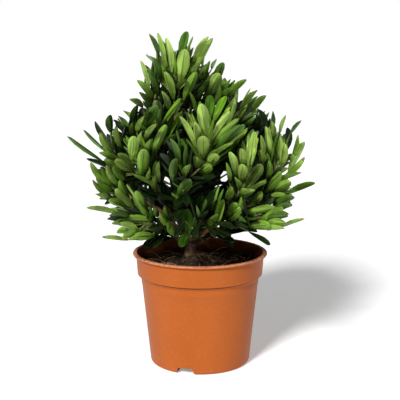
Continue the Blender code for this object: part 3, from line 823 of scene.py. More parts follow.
def bough_radii(bough, rings):
    _, trunk_radius = trunk_at(bough.leaves_at)
    root = min(BOUGH_ROOT_RADIUS, trunk_radius * 0.8)
    return [root + (BOUGH_TIP_RADIUS - root) * ring / rings for ring in range(rings + 1)]


CRACKS_ROUND = 1.6
CRACKS_LENGTHWISE = 120
FINE_CRACKS = 2.7
KNOTS_LENGTHWISE = 330
KNOTS_FROM = 0.25
KNOT_HEIGHT = 2.2


def bark_relief(depth, along):
    """Lengthwise cracks and shreds, with a swelling at every leaf scar."""

    def relief(place, turns, radius, centre):
        height = place * along
        raised = []
        for turn, size in zip(turns, radius):
            round_x, round_y = math.cos(turn), math.sin(turn)
            long_way = Vector((round_x * CRACKS_ROUND, round_y * CRACKS_ROUND, height * CRACKS_LENGTHWISE))
            cracks = noise.noise(long_way + Vector(centre) * 40)
            cracks += 0.5 * noise.noise(long_way * FINE_CRACKS)
            round_way = Vector((round_x, round_y, height * KNOTS_LENGTHWISE))
            knot = noise.noise(round_way + Vector((5, 1, 8)))
            raised.append(size + depth * (cracks * 0.8 + max(0.0, knot - KNOTS_FROM) * KNOT_HEIGHT))
        return np.array(raised)

    return relief


def bark_finish(name, dark, pale, shred):
    """Thin bark, cracked lengthwise, with pale dry shreds on the ridges."""
    bark = Finish(name, specular_ior_level=0.3)
    fissures = bark.grain(420.0, 5.0, bark.across((1.0, 1.0, 0.22)), roughness=0.6)
    blotches = bark.grain(120.0, 3.0)
    colour = bark.mix(fissures.rises(0.36, 0.62), dark, pale)
    colour = bark.mix(blotches.rises(0.52, 0.72) * 0.55, colour, shred)
    bumps = bark.relief(fissures, 0.0005, 0.8)
    return bark.show(base_color=colour, roughness=0.75 + fissures * 0.2, normal=bumps)


trunk_heights = np.linspace(TRUNK_FOOT_HEIGHT - TRUNK_SUNK, TRUNK_TIP.z, TRUNK_RINGS)
trunk_places = [trunk_at(max(height, TRUNK_FOOT_HEIGHT)) for height in trunk_heights]
trunk_path = [(centre.x, centre.y, height) for (centre, _), height in zip(trunk_places, trunk_heights)]
trunk_radii = [radius for _, radius in trunk_places]
spacing = trunk_heights[1] - trunk_heights[0]
trunk_wood = (*tube(trunk_path, trunk_radii, TRUNK_SIDES, bark_relief(TRUNK_CRACKS, spacing)), 0)
trunk_bark = bark_finish("trunk_bark", tint(34, 24, 16), tint(98, 74, 50), tint(146, 120, 84))
trunk = joined("bark_trunk", [trunk_wood], [trunk_bark])
smoothed(trunk, 70)
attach(trunk, "root")
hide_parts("trunk")

bough_wood = []
for bough in BOUGHS:
    path = bough_path(bough, BOUGH_RINGS)
    cracked = bark_relief(BOUGH_CRACKS, (path[1] - path[0]).length)
    bough_wood.append((*tube(path, bough_radii(bough, BOUGH_RINGS), BOUGH_SIDES, cracked), 0))
bough_bark = bark_finish("bough_bark", tint(52, 34, 22), tint(104, 70, 46), tint(98, 96, 52))
boughs = joined("bark_boughs", bough_wood, [bough_bark])
smoothed(boughs, 70)
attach(boughs, "root")
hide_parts(*["bough_" + bough.name for bough in BOUGHS])


# Leaf model. A leathery strap-shaped blade, widest past its middle and blunt at its tip, on a
# very short stalk: a shallow trough with a sunk midrib above and a raised one below.
BLADE_ROWS = (0.0, 0.09, 0.30, 0.55, 0.78, 0.92, 0.98, 1.0)
BLADE_COLUMNS = (-1.0, -0.10, 0.10, 1.0)
BLADE_THICKNESS = 0.020
RIB_SUNK = 0.011
TROUGH = 0.045
WIDEST_AT = 0.54
RIB_SHARE = 0.2
SHUT_FROM = 0.95
DRY_FROM = 0.89
FOOT_UP_TO = 0.09
LOW_UP_TO = 0.30
MERGE_DISTANCE = 0.0001
UPPER, RIB, LOWER, DRY, FOOT, LOW = range(6)


def blade_half_width(share):
    """Half the blade's width at a share of its length, at most a half."""
    base = 0.12 + 0.88 * math.sin(min(1.0, share / WIDEST_AT) * math.pi / 2) ** 1.1
    tip = max(0.0, 1 - (max(0.0, share - WIDEST_AT) / (1 - WIDEST_AT)) ** 2.6) ** 0.54
    return 0.5 * base * tip


bpy.ops.mesh.primitive_grid_add(
    x_subdivisions=len(BLADE_COLUMNS) - 1, y_subdivisions=len(BLADE_ROWS) - 1, size=2
)
blade = named("blade")
for vertex in blade.data.vertices:
    column = round((vertex.co.x + 1) / 2 * (len(BLADE_COLUMNS) - 1))
    row = round((vertex.co.y + 1) / 2 * (len(BLADE_ROWS) - 1))
    across = BLADE_COLUMNS[column]
    share = BLADE_ROWS[row]
    vertex.co.x = across * blade_half_width(share) if row else 0.0
    vertex.co.y = share
    sunk = RIB_SUNK if abs(across) < RIB_SHARE and 0.0 < share < SHUT_FROM else 0.0
    vertex.co.z = TROUGH * (vertex.co.x * 2) ** 2 - sunk

# The underside is a copy that hangs below the upper side, but not at the edge, foot and tip,
# where both are merged to one closed skin.
bpy.ops.object.mode_set(mode="EDIT")
bpy.ops.mesh.select_all(action="SELECT")
bpy.ops.mesh.duplicate()
bpy.ops.mesh.flip_normals()
bpy.ops.object.mode_set(mode="OBJECT")
top_count = len(blade.data.vertices) // 2
for vertex in blade.data.vertices[top_count:]:
    half = blade_half_width(vertex.co.y)
    if half > 0 and abs(vertex.co.x) < half * 0.95 and vertex.co.y > 0:
        under_rib = abs(vertex.co.x) < half * RIB_SHARE
        vertex.co.z -= BLADE_THICKNESS * min(1.0, half * 3) * (1.0 if under_rib else 0.8)
bpy.ops.object.mode_set(mode="EDIT")
bpy.ops.mesh.select_all(action="SELECT")
bpy.ops.mesh.remove_doubles(threshold=MERGE_DISTANCE)
bpy.ops.mesh.select_all(action="SELECT")
bpy.ops.mesh.dissolve_degenerate(threshold=MERGE_DISTANCE / 2)
bpy.ops.object.mode_set(mode="OBJECT")
BLADE_POINTS, BLADE_TRIANGLES = shape_of(blade)

# Each point's place on the blade is kept for its veins: across from edge to edge, and along.
# The slots say which finish each triangle wears.
point_halves = np.maximum([blade_half_width(share) for share in BLADE_POINTS[:, 1]], 0.001)
BLADE_MARKS = np.stack([BLADE_POINTS[:, 0] / point_halves * 0.5 + 0.5, BLADE_POINTS[:, 1]], axis=1)
corners = BLADE_POINTS[BLADE_TRIANGLES]
outward_ways = np.cross(corners[:, 1] - corners[:, 0], corners[:, 2] - corners[:, 0])
middles_across, middles_along, _ = corners.mean(axis=1).T
half_widths = np.array([blade_half_width(share) for share in middles_along])
BLADE_DRY = middles_along > DRY_FROM
BLADE_SLOTS = np.where(outward_ways[:, 2] < 0, LOWER, UPPER)
BLADE_SLOTS[middles_along < LOW_UP_TO] = LOW
BLADE_SLOTS[np.abs(middles_across) < half_widths * RIB_SHARE] = RIB
BLADE_SLOTS[middles_along < FOOT_UP_TO] = FOOT


# Foliage. Every shoot carries its leaves in one spiral, wide apart in angle at its foot and
# closing to a tuft round the bud at its tip. Young leaves are bright yellow green and turn deep
# green with age. Leaves in the shade inside the crown are painted darker still, down to near
# black: painted shade.
LEAF_LENGTH = 0.0365
LEAF_WIDTH = 0.0086
LEAF_START = 0.06
LEAF_SPREAD_FOOT = 56
LEAF_SPREAD_TIP = 9
LEAF_RISE = 0.26
LEAF_OFF_STEM = 0.0002
END_LEAF_LENGTH = 0.84
MIDDLE_LEAF_LONGER = 0.28
LEAST_WIDTH = 0.72
WIDTH_WITH_LENGTH = 0.28
SPIN_PLAY = 16
SPREAD_PLAY = 9
LENGTH_PLAY = (0.88, 1.08)
WIDTH_PLAY = (0.84, 1.08)
RISE_PLAY = (0.7, 1.3)
OLD_LEAVES_UP_TO = 0.30
OLD_LEAVES_PLAY = 0.12
FOOT_BEND = (-12, 14)
TIP_BEND = (-14, 0)
DRY_CHANCE = 0.012
CROWN_FLOOR = 0.103
GOLDEN_ANGLE = 137.5
LEAF_TRIES = 12
LEAF_SHRINK = 0.02
LEAF_NUDGE = 6
FILL_TRIES = 3500
FILL_SHORTEST = 0.72
FACE_TO_SKY = 0.45
TOUCHES_ALLOWED = 6
BEHIND_SEEN = 0.0005
LIMB_CLEARANCE = 0.0006
TRUNK_PARTS = 12
BOUGH_PARTS = 6
STEM_LEAVES = 26
TWIG_LEAVES = 13
BOUGH_LEAVES = 5
BOUGH_LEAF_SPREAD = 78
BOUGH_LEAF_LENGTH = LEAF_LENGTH * 0.85
TWIG_LEAF_LENGTH = LEAF_LENGTH * 0.94
TWIG_FIRST_LEAF = 0.15
SIDE_TWIGS = 8
SIDE_TWIG_LENGTH = 0.021
SIDE_TWIG_SPREAD = 36
SIDE_TWIG_TURN = 140
SIDE_TWIG_RISE = 0.25
TWIG_TURN_PLAY = 18
TWIG_SPREAD_PLAY = 8
TWIG_LENGTH_PLAY = (0.8, 1.2)
SAME_TONE_CHANCE = 0.65
FIRST_TWIG_SHARE = 0.12
TWIGS_OVER_SHARE = 0.62
SEED = 11
FILL_SEED = SEED + 100
STEM_FOOT_SUNK = 0.02
TWIG_TIP_RADIUS = 0.0009
SIDE_TWIG_RADII = (TWIG_TIP_RADIUS * 1.1, TWIG_TIP_RADIUS * 0.8)
SEEN_TWIG_RADII = (TWIG_TIP_RADIUS, TWIG_TIP_RADIUS * 0.7)
TWIG_PARTS = 6
TWIG_SIDES = 6
BOX_ROOM = 0.0030

Mass = namedtuple("Mass", "name start end tone")
Shoot = namedtuple("Shoot", "start end count tone spread_foot length first")
Leaf = namedtuple("Leaf", "root along across face length width bend tone dry")

masses = []
for bough in BOUGHS:
    way = outward(bough.azimuth, bough.lift)
    start = bough_end(bough) + way * CLEARANCE
    masses.append(Mass(bough.name, start, start + way * STEM_LENGTH, bough.tone))
way = outward(LEADER_AZIMUTH, LEADER_LIFT)
start = TRUNK_TIP + way * (CLEARANCE * 2)
masses.append(Mass("leader", start, start + way * LEADER_STEM, LEADER_TONE))

stem_starts = np.array([mass.start for mass in masses])
stem_ends = np.array([mass.end for mass in masses])
limb_starts = []
limb_ends = []
limb_radii = []
for low in np.linspace(TRUNK_FOOT_HEIGHT, TRUNK_TIP.z, TRUNK_PARTS + 1)[:-1]:
    high = low + (TRUNK_TIP.z - TRUNK_FOOT_HEIGHT) / TRUNK_PARTS
    limb_starts.append(trunk_at(low)[0])
    limb_ends.append(trunk_at(high)[0])
    limb_radii.append(trunk_at(low)[1])
for bough in BOUGHS:
    path = bough_path(bough, BOUGH_PARTS)
    limb_starts += path[:-1]
    limb_ends += path[1:]
    limb_radii += bough_radii(bough, BOUGH_PARTS)[:-1]
limb_starts = np.array(limb_starts)
limb_ends = np.array(limb_ends)
limb_radii = np.array(limb_radii)
box_low = np.array(cad_box[0]) - BOX_ROOM
box_high = np.array(cad_box[1]) + BOX_ROOM


def from_lines(points, starts, ends):
    """Distance of each point from each line."""
    lines = ends - starts
    gaps = points[:, None] - starts
    share = np.clip((gaps * lines).sum(-1) / (lines * lines).sum(-1), 0, 1)
    return np.linalg.norm(gaps - lines * share[..., None], axis=-1)


SAMPLE_SHARES = np.linspace(0.12, 0.99, 16)
SAMPLE_SIDES = np.linspace(-0.92, 0.92, 7)
SHOWN_SHARES = np.linspace(0.22, 1.0, 46)
SHOWN_SIDES = np.linspace(-0.95, 0.95, 15)


def blade_line(leaf, shares):
    """Points and face directions along a leaf that bends evenly from root to tip."""
    bend = math.radians(leaf.bend)
    if abs(bend) < 0.001:
        bend = 0.001
    along = np.array(leaf.along)
    face = np.array(leaf.face)
    angle = bend * shares[:, None]
    bent = np.sin(angle) / bend * along + (np.cos(angle) - 1) / bend * face
    return np.array(leaf.root) + leaf.length * bent, np.cos(angle) * face + np.sin(angle) * along


def halves_at(shares, sides):
    """How far off its midrib points of a blade of width 1 are."""
    return np.outer([blade_half_width(share) for share in shares], sides)[..., None]


def blade_spots(leaf, shares, halves):
    """Points all over a leaf's blade."""
    places, _ = blade_line(leaf, shares)
    return (places[:, None] + halves * leaf.width * np.array(leaf.across)).reshape(-1, 3)


SAMPLE_HALVES = halves_at(SAMPLE_SHARES, SAMPLE_SIDES)
SHOWN_HALVES = halves_at(SHOWN_SHARES, SHOWN_SIDES)

# The crown's outline, as its reach to the left and right of the pot's middle at each height.
# It is about round in plan. The gaps, given by their pixels, are where sky shows through it
# or notches its edge, and where it is bare round the trunk's foot.
CrownRow = namedtuple("CrownRow", "height left right")
CROWN = (
    CrownRow(0.092, -0.046, 0.046), CrownRow(0.105, -0.056, 0.056), CrownRow(0.110, -0.069, 0.060),
    CrownRow(0.121, -0.073, 0.073), CrownRow(0.132, -0.082, 0.078), CrownRow(0.143, -0.091, 0.082),
    CrownRow(0.154, -0.090, 0.084), CrownRow(0.164, -0.093, 0.083), CrownRow(0.175, -0.093, 0.082),
    CrownRow(0.196, -0.085, 0.084), CrownRow(0.202, -0.084, 0.081), CrownRow(0.212, -0.080, 0.078),
    CrownRow(0.218, -0.078, 0.074), CrownRow(0.223, -0.062, 0.067), CrownRow(0.228, -0.053, 0.056),
    CrownRow(0.238, -0.054, 0.056), CrownRow(0.244, -0.049, 0.048), CrownRow(0.254, -0.049, 0.040),
    CrownRow(0.259, -0.048, 0.021), CrownRow(0.269, -0.043, 0.011), CrownRow(0.280, -0.036, 0.006),
    CrownRow(0.290, -0.043, 0.006), CrownRow(0.296, -0.017, -0.009),
)
Gap = namedtuple("Gap", "across down radius")
SKY_GAPS = (
    Gap(224, 179, 3.2), Gap(226, 173, 2.0), Gap(221, 186, 1.5), Gap(167, 180, 2.2), Gap(168, 186, 1.3),
    Gap(190, 111, 2.5), Gap(204, 226, 1.5), Gap(243, 93, 4.0), Gap(244, 84, 3.0), Gap(266, 113.5, 1.5),
    Gap(280, 121, 4.5), Gap(281, 130, 4.0), Gap(196, 246, 6.0), Gap(206, 244, 5.0), Gap(218, 243, 4.0),
    Gap(186, 246, 5.0), Gap(172, 245, 5.0), Gap(246, 239, 6.0), Gap(236, 240, 5.0), Gap(256, 238, 3.0),
    Gap(174, 44, 3.0), Gap(175, 36, 4.0), Gap(161, 38, 3.0), Gap(277, 126, 2.5), Gap(141, 242, 3.0),
    Gap(113, 206, 2.0), Gap(289, 183, 3.0), Gap(296, 178, 2.0),
)
CROWN_DEPTH = 1.10
CROWN_DEPTH_MIDDLE = 0.006
CROWN_SLACK = 1.06

crown_heights, lefts, rights = np.array(CROWN).T
level = np.zeros(len(CROWN))
left_pixels, outline_rows, _ = pixels_of(np.stack([lefts, level, crown_heights], axis=1))
right_pixels, _, _ = pixels_of(np.stack([rights, level, crown_heights], axis=1))
rows, columns = np.mgrid[0:FRAME_SIDE, 0:FRAME_SIDE] + 0.5
left_edge = np.interp(rows, outline_rows[::-1], left_pixels[::-1])
right_edge = np.interp(rows, outline_rows[::-1], right_pixels[::-1])
barred = (columns < left_edge) | (columns > right_edge) | (rows < outline_rows.min())
for gap in SKY_GAPS:
    barred |= (columns - gap.across) ** 2 + (rows - gap.down) ** 2 < gap.radius**2

# Space that is spoken for is kept on a fine grid of cells, and the space where each mass may
# grow, nearer its own stem than any other's or little farther, on a wide one.
CELL = 0.0017
WIDE_CELL = 0.0034
GRID_ROOM = 0.0120
CELL_OVERLAP = 0.0045
grid_low = box_low - GRID_ROOM


def grid_counts(cell):
    return np.ceil((box_high + GRID_ROOM - grid_low) / cell).astype(int) + 1


def cells_of(points, cell):
    """The place on a grid of each point."""
    return tuple(((points - grid_low) / cell).astype(int).T)


def cell_centres(low, high, cell):
    axes = [np.arange(first, last) for first, last in zip(low, high)]
    return grid_low + (np.stack(np.meshgrid(*axes, indexing="ij"), axis=-1) + 0.5) * cell


taken = np.zeros(grid_counts(CELL), bool)
wooden = np.zeros(grid_counts(CELL), bool)
for start, end, radius in zip(limb_starts, limb_ends, limb_radii):
    reach = radius + LIMB_CLEARANCE
    low = ((np.minimum(start, end) - reach - grid_low) / CELL).astype(int)
    high = ((np.maximum(start, end) + reach - grid_low) / CELL).astype(int) + 2
    block = cell_centres(low, high, CELL)
    near = from_lines(block.reshape(-1, 3), start[None], end[None])[:, 0] < reach
    wooden[low[0]:high[0], low[1]:high[1], low[2]:high[2]] |= near.reshape(block.shape[:3])

wide_counts = grid_counts(WIDE_CELL)
centres = cell_centres((0, 0, 0), wide_counts, WIDE_CELL).reshape(-1, 3)
away = [from_lines(centres, start[None], end[None])[:, 0] for start, end in zip(stem_starts, stem_ends)]
away = np.array(away, np.float32)
left = np.interp(centres[:, 2], crown_heights, lefts)
half = (np.interp(centres[:, 2], crown_heights, rights) - left) / 2
round_plan = ((centres[:, 0] - (left + half)) / half) ** 2
round_plan += ((centres[:, 1] - CROWN_DEPTH_MIDDLE) / (half * CROWN_DEPTH)) ** 2
own_space = (away <= away.min(axis=0) + CELL_OVERLAP) & (round_plan <= CROWN_SLACK)
own_space = own_space.reshape(len(masses), *wide_counts)


def fits(leaf, index):
    """The cells a leaf takes up, or None where it leaves its space or meets its neighbours."""
    points = blade_spots(leaf, SAMPLE_SHARES, SAMPLE_HALVES)
    if (points < box_low).any() or (points > box_high).any() or points[:, 2].min() < CROWN_FLOOR:
        return None
    across, down, ahead = pixels_of(points)
    pixels = (down.astype(int), across.astype(int))
    if barred[pixels].any() or (ahead < shown[pixels] - BEHIND_SEEN).any():
        return None
    if not own_space[(index, *cells_of(points, WIDE_CELL))].all():
        return None
    cells = cells_of(points, CELL)
    if wooden[cells].any() or np.count_nonzero(taken[cells]) > TOUCHES_ALLOWED:
        return None
    return cells


# Each tone's next darker one, taken with age and also as painted shade, and its next lighter one, taken only
# as painted light.
OLDER_AND_SHADED_TONE = {"young": "fresh", "fresh": "mature", "mature": "deep", "deep": "inner", "inner": "inner"}
PAINTED_LIGHTER_TONE = {"young": "young", "fresh": "young", "mature": "fresh", "deep": "mature", "inner": "deep"}


def aged(tone, share, rng):
    """Leaves near a shoot's foot are a year older than those at its tip."""
    if share < OLD_LEAVES_UP_TO + rng.uniform(-OLD_LEAVES_PLAY, OLD_LEAVES_PLAY):
        tone = OLDER_AND_SHADED_TONE[tone]
    return tone


def leaf_on(shoot, share, turn, rng):
    """A leaf on a shoot by the source's rule, its face turned a little to the sky."""
    line = shoot.end - shoot.start
    axis = line.normalized()
    side = axis.orthogonal().normalized()
    spin = Matrix.Rotation(math.radians(turn + rng.uniform(-SPIN_PLAY, SPIN_PLAY)), 3, axis)
    spread = shoot.spread_foot + (LEAF_SPREAD_TIP - shoot.spread_foot) * share
    spread = math.radians(spread + rng.uniform(-SPREAD_PLAY, SPREAD_PLAY))
    along = axis * math.cos(spread) + (spin @ side) * math.sin(spread)
    along = (along + Vector((0.0, 0.0, LEAF_RISE * rng.uniform(*RISE_PLAY)))).normalized()
    face = along.cross(axis).normalized().cross(along)
    face = face + Vector((0.0, 0.0, FACE_TO_SKY))
    face = (face - along * face.dot(along)).normalized()
    across = along.cross(face)
    length = shoot.length * (END_LEAF_LENGTH + MIDDLE_LEAF_LONGER * math.sin(math.pi * share))
    length *= rng.uniform(*LENGTH_PLAY)
    width = LEAF_WIDTH * (LEAST_WIDTH + WIDTH_WITH_LENGTH * shoot.length / LEAF_LENGTH)
    width *= rng.uniform(*WIDTH_PLAY)
    bend = rng.uniform(*FOOT_BEND) * (1 - share) + rng.uniform(*TIP_BEND) * share
    root = shoot.start + line * (LEAF_START + (1 - LEAF_START) * share) + along * LEAF_OFF_STEM
    dry = rng.random() < DRY_CHANCE
    return Leaf(root, along, across, face, length, width, bend, aged(shoot.tone, share, rng), dry)


def grow(shoot, index, rng):
    """Leaves in a spiral along a shoot, each tried a few times and left out if none fits."""
    grown = []
    turn = rng.uniform(0, 360)
    for place in range(shoot.count):
        turn += GOLDEN_ANGLE
        share = shoot.first + (1 - shoot.first) * place / (shoot.count - 1)
        for attempt in range(LEAF_TRIES):
            nudge = rng.uniform(-1, 1) * attempt * LEAF_NUDGE
            shorter = shoot._replace(length=shoot.length * (1 - LEAF_SHRINK * attempt))
            leaf = leaf_on(shorter, share, turn + nudge, rng)
            cells = fits(leaf, index)
            if cells is not None:
                taken[cells] = True
                grown.append(leaf)
                break
    return grown


def fill(shoots, index, tries, rng):
    """Leaves at chance places of a mass's shoots, wherever there is still room for one."""
    grown = []
    for _ in range(tries):
        shoot = rng.choice(shoots)
        shorter = shoot._replace(length=shoot.length * rng.uniform(FILL_SHORTEST, 1.0))
        leaf = leaf_on(shorter, rng.random(), rng.uniform(0, 360), rng)
        cells = fits(leaf, index)
        if cells is not None:
            taken[cells] = True
            grown.append(leaf)
    return grown


def side_twigs(start, end, count, length, rng):
    """Start and end of the twigs that branch from a stem."""
    line = end - start
    axis = line.normalized()
    side = axis.orthogonal().normalized()
    turn = rng.uniform(0, 360)
    twigs = []
    for place in range(count):
        turn += SIDE_TWIG_TURN + rng.uniform(-TWIG_TURN_PLAY, TWIG_TURN_PLAY)
        spin = Matrix.Rotation(math.radians(turn), 3, axis)
        spread = math.radians(SIDE_TWIG_SPREAD + rng.uniform(-TWIG_SPREAD_PLAY, TWIG_SPREAD_PLAY))
        way = axis * math.cos(spread) + (spin @ side) * math.sin(spread)
        way = (way + Vector((0.0, 0.0, SIDE_TWIG_RISE))).normalized()
        root = start + line * (FIRST_TWIG_SHARE + TWIGS_OVER_SHARE * place / (count - 1))
        twigs.append((root, root + way * length * rng.uniform(*TWIG_LENGTH_PLAY)))
    return twigs
